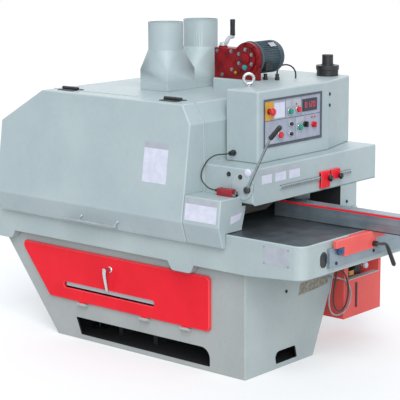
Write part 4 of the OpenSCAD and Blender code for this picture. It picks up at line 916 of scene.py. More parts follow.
@dataclass
class Cabinet:
    """Welded cabinet with its service door, latch and jack screws."""

    tools: Tools
    half_len: float = 700.0
    half_w: float = 300.0
    height: float = 580.0
    end_lean: float = 460.0
    side_lean: float = 260.0
    wall: float = 4.0
    door_front: float = -317.0
    door_low: float = 221.0
    slot_x: Pair = (-620.0, 72.0)
    slot_z: Pair = (302.0, 334.0)
    latch: Pair = (-252.0, 455.0)
    end_bolt: Pair = (51.0, 413.0)

    def inside(self, centre: Vector, normal: Vector) -> bool:
        """Tell whether a face lies inside the cabinet's walls.

        Args:
            centre: The face's centre.
            normal: Its normal, which does not matter here.

        Returns:
            True for a face of the inside.
        """
        rise = centre.z / self.height
        low_x = -self.half_len - self.end_lean * rise
        high_y = self.half_w + self.side_lean * rise
        return (self.wall < centre.z < self.height - self.wall
                and low_x + self.wall < centre.x < self.half_len - self.wall
                and -self.half_w + self.wall < centre.y < high_y - self.wall)

    def build(self) -> None:
        """Dress the cabinet, the door and what is on them."""
        # The infeed end takes painted light, faces inside the walls take painted shade, and rounded edges a
        # paler grey that is partly a painted highlight.
        softened("base_cabinet", PLATE_GREY, 7.0, PLATE_WORN_AND_HIGHLIGHTED,
                 [Zone(PLATE_END_LIT, lambda c, n: n.x > LOOKING), Zone(PAINTED_SHADE, self.inside)])
        softened("jack_screws", DARK_STEEL, 1.2, wide=6.0)
        softened("service_door", SIGNAL_RED, 2.6, RED_EDGE_HIGHLIGHT,
                 [Zone(PLATE_GREY, lambda c, n: c.z < self.door_low)], wide=4.5)
        coated(PLATE_GREY, "door_hinge_pins")
        self.slot_strip()
        self.latch_lever()
        self.end_marks()

    def slot_strip(self) -> None:
        """Make the folded strip seen through the door's pull slot."""
        (x0, x1), (z0, z1), front = self.slot_x, self.slot_z, self.door_front
        strip = Form().block((x0, front + 16, z0), (x1, front + 18.4, z1), 0.6)
        strip.block((x0, front + 5, z1 - 8), (x1, front + 18, z1 - 6), 0.5)
        strip.piece("slot_strip", "door_body", "light_grey_paint", [SHEET_WORN_AND_HIGHLIGHTED])

    def latch_lever(self) -> None:
        """Make the chromed latch: a stem out of the door and an arm that hangs from it."""
        x, z = self.latch
        front = self.door_front
        stem = [(18, 0.3), (18, 5), (15.5, 7.5), (13, 9), (13, 40), (14.5, 44), (14, 50), (8, 53.5), (1, 54)]
        lever = Form().turned(stem, (x, front, z), Axis.BACK_Y)
        lever.swept([(x, front - 46, z + 3), (x, front - 46, z - 10), (x - 1, front - 42, z - 36),
                     (x - 2, front - 34, z - 74), (x - 3, front - 25, z - 112), (x - 3, front - 23, z - 124)],
                    [11, 13, 12, 10.5, 9.5, 6])
        lever.turned([(5, -5), (5, 2)], (x, front, z), Axis.BACK_Y)
        lever.piece("latch_lever", "latch_body", "polished_metal", [CHROME], ["door_latch"])

    def end_marks(self) -> None:
        """Make the bare plate's remains and the bolt on the cabinet's infeed end."""
        x = self.half_len
        torn = ((158, 368), (300, 374), (424, 384), (440, 428), (300, 434), (176, 434))
        patch = Form().prism([(x, y, z) for y, z in torn], (FILM, 0, 0))
        patch.piece("plate_remains", "machine", "base_grey_paint", [GLUE])
        self.tools.fasteners.place("end_bolts", "machine", "bright_steel", DARK_STEEL,
                                   [(x + 1, *self.end_bolt)], (1, 0, 0), head=6.5, height=5)


@dataclass
class Bed:
    """Cast bed with ground table plates."""

    tools: Tools
    side_y: float = -352.0
    end_x: float = 1106.0
    plate_x: Pair = (858.0, 1022.0)
    plate_z: Pair = (664.0, 760.0)
    plate_rim: float = 6.0
    slot: Pair = (-181.0, 689.0)
    rail_front: float = 21.0
    rail_bolts: tuple[Pair, ...] = ((-94.0, 659.0), (241.0, 666.0), (520.0, 666.0))

    def build(self) -> None:
        """Dress the casting and the table, and make what is on the casting."""
        softened("bed_casting", CAST_GREY, 6.0, SHEET_WORN_AND_HIGHLIGHTED)
        softened("table_plates", TABLE_IRON)
        self.side_plate()
        self.hand_slot()
        self.tools.fasteners.place("rail_bolts", "machine", "black_steel", BLACK_STEEL,
                                   [(self.end_x + self.rail_front, y, z) for y, z in self.rail_bolts],
                                   (1, 0, 0), head=7, height=4, sides=12, washer=1.25)

    def side_plate(self) -> None:
        """Make the bare plate on the casting's side: a sheet, its raised field and four rivets."""
        (x0, x1), (z0, z1), y, rim = self.plate_x, self.plate_z, self.side_y, self.plate_rim
        plate = Form().block((x0, y - 1, z0), (x1, y, z1), 0.4)
        plate.block((x0 + rim, y - 1.5, z0 + rim), (x1 - rim, y - 0.6, z1 - rim), 0.3)
        plate.piece("bare_side_plate", "machine", "panel_plate", [SILVER_FILM])
        corners = [(x, y - 1.4, z) for x in (x0 + rim, x1 - rim) for z in (z0 + rim, z1 - rim)]
        self.tools.fasteners.place("side_plate_rivets", "machine", "bright_steel", BRIGHT_STEEL, corners,
                                   (0, -1, 0), head=2.6, height=1.6, sides=12)

    def hand_slot(self) -> None:
        """Make the lipped slot at the bed's infeed corner."""
        y, z = self.slot
        lip = Form().prism(self.oval(y, z, 36, 48), (3, 0, 0), 1.0)
        lip.prism(self.oval(y, z, 29, 41, 2.4), (1.4, 0, 0), 0.3, 1)
        lip.prism(self.oval(y - 8, z - 16, 17, 22, 3.4), (1.2, 0, 0), 0.3, 2)
        lip.piece("hand_slot", "machine", "black_plastic", [CAST_GREY, DARK_STEEL, BLACK_RUBBER])

    def oval(self, y: float, z: float, half: float, tall: float, out: float = -0.6) -> list[Point]:
        """Give a standing oval on the bed's infeed end.

        Args:
            y: Its middle across.
            z: Its middle up.
            half: Half its width.
            tall: Half its height.
            out: Distance out of the end face.

        Returns:
            Points of the outline.
        """
        points = []
        steps = 24
        for k in range(steps):
            turn = math.tau * k / steps
            shift = (tall - half) * (1 if math.sin(turn) >= 0 else -1)
            points.append((self.end_x + out, y + half * math.cos(turn), z + half * math.sin(turn) + shift))
        return points


@dataclass
class Enclosure:
    """Upper body, swing-up hood with its handle and hinges, and the guard beside the mouth."""

    tools: Tools
    bend: Pair = (-413.0, 821.0)
    lean: float = 8.0
    heart: tuple[float, float, float] = (-354.0, 290.0, 1100.0)
    roof_low: float = 1416.0
    guard_end: float = 615.0
    bar: tuple[float, float, float] = (-519.0, -426.0, 734.0)
    bar_len: float = 426.0
    bar_r: float = 9.0
    posts: Pair = (-394.0, -118.0)

    def inside(self, centre: Vector, normal: Vector) -> bool:
        """Tell whether a face below the roof looks towards the middle of the body.

        Args:
            centre: The face's centre.
            normal: Its normal.

        Returns:
            True for a face of the inside.
        """
        return (Vector(self.heart) - centre).dot(normal) > 0 and centre.z < self.roof_low

    def leaning_plate(self, form: Form, x: Pair, z: Pair, finish: int) -> None:
        """Add a thin plate on the leaning face.

        Args:
            form: Form that takes it.
            x: Its ends along the feed.
            z: Its lower and upper edge.
            finish: Index of its finish.
        """
        lean = math.radians(self.lean)
        y, bend_z = self.bend
        corners = [(x[0], z[0]), (x[1], z[0]), (x[1], z[1]), (x[0], z[1])]
        outline = [(px, y + (pz - bend_z) * math.tan(lean), pz) for px, pz in corners]
        form.prism(outline, Vector((0, -math.cos(lean), math.sin(lean))) * FILM, 0.0, finish)

    def build(self) -> None:
        """Dress the sheet metal and make handle and plates."""
        # Faces inside the body below the roof take painted shade.
        softened("upper_body", SHEET_GREY, 6.0, SHEET_WORN_AND_HIGHLIGHTED, [Zone(PAINTED_SHADE, self.inside)])
        softened("hood", SHEET_GREY, 7.0, SHEET_WORN_AND_HIGHLIGHTED)
        softened("infeed_guard", SHEET_GREY, 6.0, SHEET_WORN_AND_HIGHLIGHTED)
        softened("hood_hinge_leaves", BLACK_STEEL, 1.0, wide=3.0)
        softened("hood_hinge_pins", BLACK_STEEL, 1.0, wide=3.0)
        self.handle()
        self.plates()

    def handle(self) -> None:
        """Make the plated bar on two posts below the hood."""
        _, y, z = self.bar
        r, end = self.bar_r, self.bar_len
        profile = [(r - 4, 0), (r - 1, 1.5), (r, 4), (r, end - 4), (r - 1, end - 1.5), (r - 4, end)]
        bar = Form().turned(profile, self.bar, Axis.X)
        for x in self.posts:
            bar.swept([(x, y, z), (x, y + 17, z + 10), (x, y + 30, z + 18), (x, y + 35.5, z + 21.3)],
                      [7, 7, 7.5, 10])
        bar.piece("hood_bar", "hood_body", "polished_metal", [BAR_STEEL], ["hood_handle"])

    def plates(self) -> None:
        """Make the bare plates with their heads on the hood and on two sides of the guard."""
        hood, guard = Form(), Form()
        for form, x, low, head, top in ((hood, (62, 232), 1001, 1182, 1215),
                                        (guard, (382, 594), 838, 924, 952)):
            self.leaning_plate(form, x, (low, head), 0)
            self.leaning_plate(form, x, (head, top), 1)
        end = self.guard_end
        for finish, outline in enumerate((((-316, 826), (-240, 840), (-222, 876), (-312, 866)),
                                          ((-312, 866), (-222, 876), (-214, 893), (-309, 884)))):
            guard.prism([(end, y, z) for y, z in outline], (FILM, 0, 0), 0.0, finish)
        hood.piece("bare_hood_plate", "hood_body", "panel_plate", [WHITE_FILM, SILVER_FILM])
        guard.piece("bare_guard_plates", "machine", "panel_plate", [WHITE_FILM, SILVER_FILM])


@dataclass
class FrontBeam:
    """Beam over the mouth with its column, pointer rail, interlock switch and kickback guard."""

    tools: Tools
    face_x: float = 688.0
    side_y: float = -223.0
    hollow_x: Pair = (350.0, 682.5)
    hollow_y: Pair = (-217.0, 894.0)
    hollow_top: float = 1101.0
    strip_y: Pair = (-166.0, 184.0)
    strip_z: Pair = (1070.0, 1091.0)
    strip_thick: float = 0.8
    labels_y: tuple[Pair, ...] = ((-150.0, -66.0), (-36.0, 56.0), (84.0, 178.0))
    labels_z: Pair = (1020.0, 1066.0)
    column_bolt: Pair = (617.0, 817.0)
    side_cap: Pair = (655.0, 1088.0)
    switch: tuple[float, float, float] = (494.0, -266.0, 984.0)
    rail_y: Pair = (5.0, 645.0)
    rail_z: Pair = (975.0, 995.0)
    notch_step: float = 16.0
    knob_z: float = 979.0
    knobs: tuple[tuple[str, float], ...] = (("left", 422.0), ("right", 518.0))
    pivot: Pair = (660.0, 1001.0)
    lean: float = 28.0
    bend: float = 16.0
    rod_len: float = 318.0

    def inside(self, centre: Vector, normal: Vector) -> bool:
        """Tell whether a face lies in the hollow of the beam.

        Args:
            centre: The face's centre.
            normal: Its normal, which does not matter here.

        Returns:
            True for a face of the inside.
        """
        return (self.hollow_x[0] < centre.x < self.hollow_x[1]
                and self.hollow_y[0] < centre.y < self.hollow_y[1]
                and centre.z < self.hollow_top)

    def build(self) -> None:
        """Dress the beam and make what is on it."""
        # The beam's hollow takes painted shade; its ear, standing out past the side, takes the paler grey as
        # a painted highlight.
        softened("press_beam", SHEET_GREY, 7.0, SHEET_WORN_AND_HIGHLIGHTED,
                 [Zone(PAINTED_SHADE, self.inside), Zone(SHEET_WORN_AND_HIGHLIGHTED, lambda c, n: c.y < self.side_y - 2)])
        # The column's face towards the hood side takes painted shade.
        softened("beam_column", SHEET_GREY, 5.0, SHEET_WORN_AND_HIGHLIGHTED, [Zone(PAINTED_SHADE, lambda c, n: n.y < -LOOKING)])
        softened("interlock_switch", SWITCH_RED, 5.0)
        coated(PITCHED_STEEL, "kickback_fingers")
        self.switch_parts()
        self.plates()
        self.rail()
        self.lever()

    def switch_parts(self) -> None:
        """Make the interlock's cable entry, key and cover screws."""
        x, y, z = self.switch
        entry = Form().turned([(11, 0), (11, 8), (7.5, 14), (6.5, 20), (4.4, 21)],
                              self.switch, Axis.BACK_X, sides=20)
        entry.block((x + 102, y - 14, z - 18), (x + 122, y + 14, z - 6), 1.5, 1)
        entry.block((x + 116, y - 10, z - 18), (x + 122, y + 10, z + 8), 1.5, 1)
        entry.piece("switch_entry", "machine", "black_plastic", [BLACK_NYLON, ZINC])
        screws = [(x + along, y + aside, z + 16) for along in (10, 92) for aside in (-12, 12)]
        self.tools.fasteners.place("switch_screws", "machine", "bright_steel", BRIGHT_STEEL, screws,
                                   (0, 0, 1), head=3, height=2, sides=12)

    def plates(self) -> None:
        """Make the bare strip on the front, and the screws, bolt and cap round the corner."""
        x, y, out = self.face_x, self.side_y, self.face_x + self.strip_thick
        (near, far), (low, high) = self.strip_y, self.strip_z
        strip = Form().block((x, near, low), (out, far, high), 0.2, 1)
        low, high = self.labels_z
        for near, far in self.labels_y:
            strip.block((x, near, low), (out, far, high), 0.2, 0)
        strip.piece("bare_beam_strip", "machine", "panel_plate", [WHITE_FILM, SILVER_FILM])
        self.tools.fasteners.place("beam_screws", "machine", "black_steel", BLACK_STEEL,
                                   [(528, y - 1, 1069), (610, y - 7, 1063)],
                                   (0, -1, 0), head=9, height=7, sides=12)
        self.tools.fasteners.place("column_bolt", "machine", "bright_steel", DARK_STEEL,
                                   [(x + 1, *self.column_bolt)], (1, 0, 0), head=6, height=5)
        cap_x, cap_z = self.side_cap
        cap = Form().turned([(22, 0), (22, 4), (19, 8), (12, 10), (2, 10.5)], (cap_x, y, cap_z), Axis.BACK_Y)
        cap.piece("side_cap", "machine", "panel_plate", [WHITE_FILM])

    def rail(self) -> None:
        """Make the notched pointer rail, its clamps and ball knobs."""
        x, (y0, y1), (z0, z1) = self.face_x, self.rail_y, self.rail_z
        bar = Form().block((x, y0, z0), (x + 9, y1, z1), 1.0)
        bar.block((x, y0, z1 - 5), (x + 12, y1, z1), 0.8)
        bar.piece("pointer_bar", "machine", "bright_steel", [CAST_ALLOY], ["pointer_rail"])
        step = self.notch_step
        self.tools.teeth.place("pointer_notches", "machine", "bright_steel", BRIGHT_STEEL,
                               int((y1 - y0) / step),
                               (x + 10, y0 + step / 2, z0 + 7), (0, step, 0), (4, 9, 11))
        ball = [(5, -5), (5, 0.3), (9, 0.4), (9, 3), (14, 5), (17.5, 10), (18, 13), (16.5, 18), (12, 21.4),
                (6, 22.2), (1, 22.3)]
        for side, y in self.knobs:
            softened("pointer_clamp_" + side, SIGNAL_RED, 3.0, RED_EDGE_HIGHLIGHT, wide=6.0)
            knob = Form().turned(ball, (x + 18, y, self.knob_z), Axis.X)
            knob.piece("ball_knob_" + side, "pointer_" + side + "_knob", "black_plastic", [BLACK_PHENOLIC],
                       ["pointer_knob_" + side])

    def lever(self) -> None:
        """Make the guard's lever: hub, leaning rod and bent grip."""
        x, z = self.pivot
        hub = Vector((x, self.side_y - 15, z))
        along, onward = (Vector((math.sin(turn), 0, math.cos(turn)))
                         for turn in map(math.radians, (self.lean, self.lean + self.bend)))
        knee = hub + along * self.rod_len
        rod = Form().turned([(10, -8), (17, -8), (18, -6), (18, 6), (16, 8), (9, 9)], hub, Axis.BACK_Y, 2)
        stops = (0, 110, 220, self.rod_len - 10)
        rod.swept([*[hub + along * reach for reach in stops], knee + onward * 6], 7.0)
        grip = [(0, 8), (2, 11), (6, 13), (50, 12.4), (88, 13), (94, 12), (97.5, 8)]
        rod.swept([knee + onward * reach for reach, _ in grip], [radius for _, radius in grip], 1, 20)
        rod.piece("guard_lever", "kick_body", "polished_metal", [ZINC, BLACK_NYLON, DARK_STEEL],
                  ["kickback_lever"])


@dataclass(frozen=True)
class PushButton:
    """A push button: its solid, its finish, its place across and up the panel, and how much larger it is."""

    node: str
    finish: Finish
    y: float
    z: float
    grow: float = 1.0


@dataclass
class ControlStation:
    """Control box with its panel, push buttons, knobs, counter and lamps."""

    tools: Tools
    face: float = 599.0
    film_y: Pair = (-15.0, 479.0)
    stop: Pair = (23.0, 1376.0)
    digit: Pair = (334.0, 1366.0)
    digit_step: float = 25.0
    lock_x: float = 594.0
    lock_y: float = 574.0
    locks: Pair = (1417.0, 1355.0)

    def build(self) -> None:
        """Dress the box and make what is on its panel."""
        softened("control_box", SHEET_GREY, 9.0, SHEET_WORN_AND_HIGHLIGHTED)
        softened("control_panel", PANEL_FILM, zones=[Zone(BEZEL, lambda c, n: c.x > self.face + 0.5)])
        self.fields()
        self.counter()
        self.buttons()
        softened("selector_knob", BLACK_NYLON, 1.4, wide=4.0)
        softened("speed_knob", RED_ABS, 1.4, wide=4.0)
        self.tools.fasteners.place("box_locks", "machine", "black_plastic", BLACK_NYLON,
                                   [(self.lock_x, self.lock_y, z) for z in self.locks], (0.961, 0.275, 0),
                                   head=8, height=5, sides=16, washer=1.3)

    def raise_field(self, form: Form, sides: Sequence[float], raised: float, rounding: float,
                    finish: int) -> None:
        """Add a flat field to the panel's face.

        Args:
            form: Form that takes it.
            sides: Its near side, foot, far side and top.
            raised: How far it stands out.
            rounding: Rounding of its edges.
            finish: Index of its finish.
        """
        y0, z0, y1, z1 = sides
        form.block((self.face, y0, z0), (self.face + raised, y1, z1), rounding, finish)

    def fields(self) -> None:
        """Make the coloured fields, the lines and the bare labels on the panel's film."""
        y0, y1 = self.film_y
        field = Form()
        self.raise_field(field, (y0, 1329, 62, 1428), 0.6, 0.2, 0)
        self.raise_field(field, (68, 1334, 160, 1416), 0.5, 0.2, 1)
        for line in ((y0, 1324, y1, 1327), (251, 1198, 253, 1324), (165, 1327, 167, 1430),
                     (306, 1327, 308, 1430), (y0, 1197, y1, 1200)):
            self.raise_field(field, line, 0.4, 0.0, 2)
        for label in ((170, 1384, 216, 1420), (222, 1384, 302, 1420), (256, 1290, 330, 1318),
                      (-8, 1204, 60, 1226)):
            self.raise_field(field, label, 0.3, 0.0, 3)
        field.piece("panel_fields", "machine", "panel_plate", [YELLOW_FILM, WHITE_FILM, BEZEL, SILVER_FILM])

    def counter(self) -> None:
        """Make the counter with its lit digits."""
        x = self.face
        glass = Form()
        self.raise_field(glass, (314, 1346, 444, 1413), 5, 1.5, 0)
        glass.block((x + 4, 321, 1352), (x + 5.6, 437, 1407), 0.5, 1)
        segments = {"a": (0, 26, 14, 29), "g": (0, 13, 14, 16), "d": (0, 0, 14, 3), "f": (-1, 15, 2, 28),
                    "b": (12, 15, 15, 28), "e": (-1, 1, 2, 14), "c": (12, 1, 15, 14)}
        y, z = self.digit
        for lit in ("abcdef", "bc", "abged", "abcdef"):
            for name in lit:
                y0, z0, y1, z1 = segments[name]
                glass.block((x + 5.4, y + y0, z + z0), (x + 6, y + y1, z + z1), 0.0, 2)
            y += self.digit_step
        glass.piece("counter", "machine", "black_plastic", [BLACK_NYLON, SMOKED, LIT_RED])

    def buttons(self) -> None:
        """Make the caps, the chromed rings round them, the small lamps and the stop's mushroom."""
        x = self.face
        cap = [(8, -12), (8, 6), (14, 6), (15, 7), (15, 15.5), (14, 17.3), (10, 18), (2, 18.2)]
        rings = Form()
        for button in (PushButton("saw_start", GREEN_ABS, 202, 1359),
                       PushButton("saw_stop", RED_ABS, 274, 1363),
                       PushButton("feed_start", GREEN_ABS, 289, 1264),
                       PushButton("feed_stop", RED_ABS, 116, 1242, 1.13)):
            at = (x, button.y, button.z)
            # Only what stands out of the panel is larger; the stem fits its bore.
            form = Form().turned([(r * button.grow if h > 5.5 else r, h) for r, h in cap], at, Axis.X)
            form.piece("cap_" + button.node, BODY_OF[button.node], SLOT_OF[button.node], [button.finish],
                       [button.node])
            bore = 15.8 * button.grow
            rings.turned([(bore, 0), (bore + 5, 0), (bore + 5, 4), (bore + 3.4, 6.5),
                          (bore + 1.2, 7), (bore, 6)], at, Axis.X, closed=True)
        for z in (1292, 1238):
            rings.turned([(15, 0), (15, 4), (12, 6), (11, 6)], (x, 207, z), Axis.X)
            rings.turned([(10, 5), (10, 16), (8, 19), (1, 20)], (x, 207, z), Axis.X, 1)
        for y, z in ((262, 1394), (402, 1308), (428, 1308)):
            rings.turned([(5, 0), (5, 2.5), (3.6, 4.5), (0.6, 5)], (x, y, z), Axis.X, 2, 16)
        stop_at = (x, *self.stop)
        rings.turned([(14, 0), (16, 0.4), (16, 3.5), (14, 5), (13.6, 5)], stop_at, Axis.X, 1)
        rings.piece("button_rings", "machine", "polished_metal", [CHROME, BLACK_NYLON, RED_ABS])
        mushroom = [(8, -12), (8, 6), (12, 6), (12, 20), (16, 22), (20, 25), (20.3, 29),
                    (19, 33.5), (15, 36.5), (8, 37.8), (1, 38)]
        stop = Form().turned(mushroom, stop_at, Axis.X)
        stop.piece("mushroom_head", "estop_body", "red_plastic", [RED_ABS], ["estop_button"])


@dataclass
class TopDrive:
    """Lift gearbox, its motor and hand crank, lifting eyes, glands and bushing on the roof."""

    tools: Tools
    centre: Pair = (197.0, 1606.0)
    front: float = 332.0
    cover_ring: float = 52.0
    rim_ring: float = 81.0
    block_bolts: tuple[Pair, ...] = ((84.0, 1642.0), (-18.0, 1640.0), (88.0, 1540.0), (20.0, 1508.0))
    brass_plug: Pair = (117.0, 1524.0)
    motor_box_x: float = 241.0
    motor_box_y: Pair = (390.0, 450.0)
    motor_box_z: Pair = (1538.0, 1588.0)
    motor_plate_y: Pair = (464.0, 516.0)
    motor_plate_half: float = 16.0
    cowl_y: float = 528.0
    screw: Pair = (-11.0, 380.0)
    screw_foot: float = 987.0
    crank_z: float = 1672.0

    def motor_box(self, centre: Vector, normal: Vector) -> bool:
        """Tell whether a face belongs to the motor's terminal box.

        Args:
            centre: The face's centre.
            normal: Its normal, which does not matter here.

        Returns:
            True for a face of the box.
        """
        (y0, y1), (z0, z1) = self.motor_box_y, self.motor_box_z
        return centre.x > self.motor_box_x and y0 < centre.y < y1 and z0 < centre.z < z1

    def build(self) -> None:
        """Dress the drive and make bolts, fins and crank."""
        softened("lift_gearbox", GEAR_RED, 4.0, wide=10.0)
        softened("lift_motor", MOTOR_SLATE, 3.0, zones=[Zone(BLACK_NYLON, self.motor_box)], wide=10.0)
        softened("lifting_eyes", CHROME, sharp=50.0)
        softened("cable_glands", BLACK_NYLON, 1.2, wide=5.0)
        softened("power_bushing", BLACK_NYLON, 2.5, wide=5.0)
        self.gear_bolts()
        self.motor_parts()
        self.crank()

    def ring(self, radius: float, count: int, start: float, out: float) -> list[Point]:
        """Give places on a circle round the middle of the gear cover.

        Args:
            radius: Radius of the circle.
            count: Number of places.
            start: Where the first one stands, in steps.
            out: How far they stand out of the case's front.

        Returns:
            The places.
        """
        x, z = self.centre
        turns = [math.tau * (k + start) / count for k in range(count)]
        return [(x + radius * math.cos(a), self.front - out, z + radius * math.sin(a)) for a in turns]

    def gear_bolts(self) -> None:
        """Make the gear case's bolts, its cover's hub, two plugs and the lift screw's collar."""
        x, z = self.centre
        front = self.front
        bolts = self.ring(self.cover_ring, 6, 0.5, 11) + [(px, front + 4, pz) for px, pz in self.block_bolts]
        self.tools.fasteners.place("gear_cover_bolts", "machine", "bright_steel", BRIGHT_STEEL, bolts,
                                   (0, -1, 0), head=7.5, height=7)
        self.tools.fasteners.place("gear_rim_bolts", "machine", "dark_red_paint", GEAR_RED,
                                   self.ring(self.rim_ring, 8, 0.25, 1), (0, -1, 0), head=7, height=6)
        hub = Form().turned([(30, 0), (30, 6), (26, 9), (16, 10), (16, 14), (13, 16), (1, 16.5)],
                            (x, front - 10, z), Axis.BACK_Y)
        plug_x, plug_z = self.brass_plug
        hub.turned([(10, 0), (10, 6), (7, 8), (1, 8.5)], (plug_x, front + 5, plug_z), Axis.BACK_Y, 1, 20)
        hub.turned([(14, 0), (14, 12), (11, 14), (1, 14.5)], (x, front - 10, z - 46), Axis.BACK_Y, 2, 24)
        hub.turned([(26, 0), (26, 6), (22, 8.2), (20, 8.2)], (*self.screw, self.crank_z - 14), Axis.Z)
        hub.piece("gear_cover_hub", "machine", "dark_red_paint", [GEAR_RED, BRASS, TEAL_ABS])

    def motor_parts(self) -> None:
        """Make the motor's cooling fins, fan cowl and bare plate."""
        x, z = self.centre
        self.tools.fins.place("motor_fins", "machine", "motor_paint", MOTOR_SLATE,
                              (x, self.cowl_y - 74, z), Axis.Y, count=40, radius=88, size=(5, 2.6, 148))
        shell = [(89, 0), (91, 2), (91, 30), (88, 36), (80, 40), (60, 41.6), (20, 42.4), (2, 42.4)]
        cowl = Form().turned(shell, (x, self.cowl_y, z), Axis.Y, 0, 48)
        # The dark disc on the cowl's end is painted shade.
        cowl.turned([(60, 41), (60, 43.4), (20, 43.8), (2, 43.8)], (x, self.cowl_y, z), Axis.Y, 1)
        cowl.piece("fan_cowl", "machine", "motor_paint", [MOTOR_SLATE, PAINTED_SHADE])
        away = Vector((0.62, 0, 0.785))
        across = Vector((0.785, 0, -0.62))
        base = Vector((x, 0, z)) + away * 92.5
        half, (y0, y1) = self.motor_plate_half, self.motor_plate_y
        corners = [base + across * aside + Vector((0, y, 0))
                   for aside, y in ((-half, y0), (half, y0), (half, y1), (-half, y1))]
        plate = Form().prism(corners, away)
        plate.piece("bare_motor_plate", "machine", "panel_plate", [SILVER_FILM])

    def crank(self) -> None:
        """Make the hand crank: lift screw, hub, rising arm and free-turning grip."""
        x, y = self.screw
        low, top = self.screw_foot, self.crank_z
        aside = Vector((-0.087, 0.996, 0))
        arm = [Vector((x, y, top + rise)) + aside * reach
               for reach, rise in ((0, 3), (22, 4), (34, 10), (48, 25), (58, 34), (70, 37), (95, 37))]
        crank = Form().turned([(12, 0), (12, top - low)], (x, y, low), Axis.Z)
        crank.turned([(20, -5.7), (20, 8), (17, 12), (10, 14), (1, 14.5)], (x, y, top), Axis.Z)
        crank.swept(arm, [13, 13, 12.5, 12, 11.5, 11, 11])
        crank.turned([(10, -7), (12, -4), (12, 4), (11, 6.4)], arm[-1], Axis.Z)
        grip = [(9, 0), (13.5, 0.6), (15, 3), (14.2, 48), (15, 88), (14, 93), (10, 94.8), (1, 95)]
        crank.turned(grip, arm[-1] + Vector((0, 0, 6)), Axis.Z, 1)
        crank.piece("hand_crank", "crank_body", "polished_metal", [CAST_ALLOY, BLACK_PHENOLIC],
                    ["lift_crank"])


@dataclass
class DustOutlet:
    """Dust pad and its two square-to-round ports."""

    tools: Tools
    spigots: tuple[Pair, ...] = ((-235.0, 143.0), (-235.0, 446.0))
    radius: float = 99.0
    top: float = 1803.0

    def build(self) -> None:
        """Dress the pad and the ports and make the beads round the spigots."""
        softened("dust_pad", SHEET_GREY, 3.0, SHEET_WORN_AND_HIGHLIGHTED)
        for node in ("dust_port_left", "dust_port_right"):
            softened(node, SHEET_GREY, sharp=24.0)
        r = self.radius
        bead = [(r - 1.5, -5), (r + 0.6, -5), (r + 1.6, -3), (r + 1.6, -1), (r, 0.4), (r - 1.5, 0.2)]
        beads = Form()
        for spigot in self.spigots:
            beads.turned(bead, (*spigot, self.top), Axis.Z, sides=64, closed=True)
        beads.piece("spigot_beads", "machine", "light_grey_paint", [SHEET_WORN_AND_HIGHLIGHTED])


@dataclass
class FenceSet:
    """Sliding fence with its clamp, lever and rail."""

    tools: Tools
    fence_x: Pair = (511.0, 1419.0)
    face_y: float = 188.4
    foot_z: float = 781.0
    stripe_z: float = 863.0
    pivot: tuple[float, float, float] = (1150.3, 205.0, 714.0)
    key_y: Pair = (-95.0, -52.0)
    key_z: Pair = (702.0, 739.0)

    def build(self) -> None:
        """Dress the fence and make what is on it and on its clamp."""
        softened("fence", FENCE_ALLOY, 2.5, wide=10.0)
        softened("fence_clamp", CORAL_RED, 4.0, CORAL_EDGE_HIGHLIGHT, wide=10.0)
        softened("fence_rail", RAIL_ALLOY, 1.5, wide=6.0)
        self.trim()
        self.lever()
        self.key()

    def trim(self) -> None:
        """Make the red stripe and the rubber seal along the fence's face."""
        (x0, x1), y = self.fence_x, self.face_y
        trim = Form().block((x0, y - 1.3, self.stripe_z), (x1, y, self.stripe_z + 10), 0.3, 0)
        trim.block((x0, y - 1.8, self.foot_z), (x1, y, self.foot_z + 5), 0.3, 1)
        trim.piece("fence_trim", "fence_body", "signal_red_paint", [SIGNAL_RED, BLACK_RUBBER])

    def lever(self) -> None:
        """Make the clamp's lever: a hub and an arm that bends down to its grip."""
        lever = Form().turned([(5, -22), (5, 0.3), (15, 0.3), (15, 20), (13, 24), (8, 26), (1, 26.4)],
                              self.pivot, Axis.X)
        arm = ((13, 0, 0), (15, 42, -8), (15, 80, -13), (15, 98, -23), (15, 113, -42), (15, 144, -94),
               (15, 171, -140), (15, 176, -149))
        lever.swept([Vector(self.pivot) + Vector(stop) for stop in arm], [9, 8, 8, 9, 10, 11.5, 12, 6], 0, 18)
        lever.piece("clamp_lever", "fence_lever_body", "black_steel", [BLACK_NYLON], ["fence_lever"])

    def key(self) -> None:
        """Make the clamp's blued key and its screw."""
        x, (y0, y1), (z0, z1) = self.pivot[0] - 3, self.key_y, self.key_z
        key = Form().block((x - 18, y0, z0), (x, y1, z1), 5.0)
        key.turned([(9, 0), (9, 5), (6, 7), (1, 7.4)], (x, y0 + 19, z0 + 18), Axis.X)
        key.piece("clamp_key", "fence_body", "bright_steel", [BLUED_STEEL])


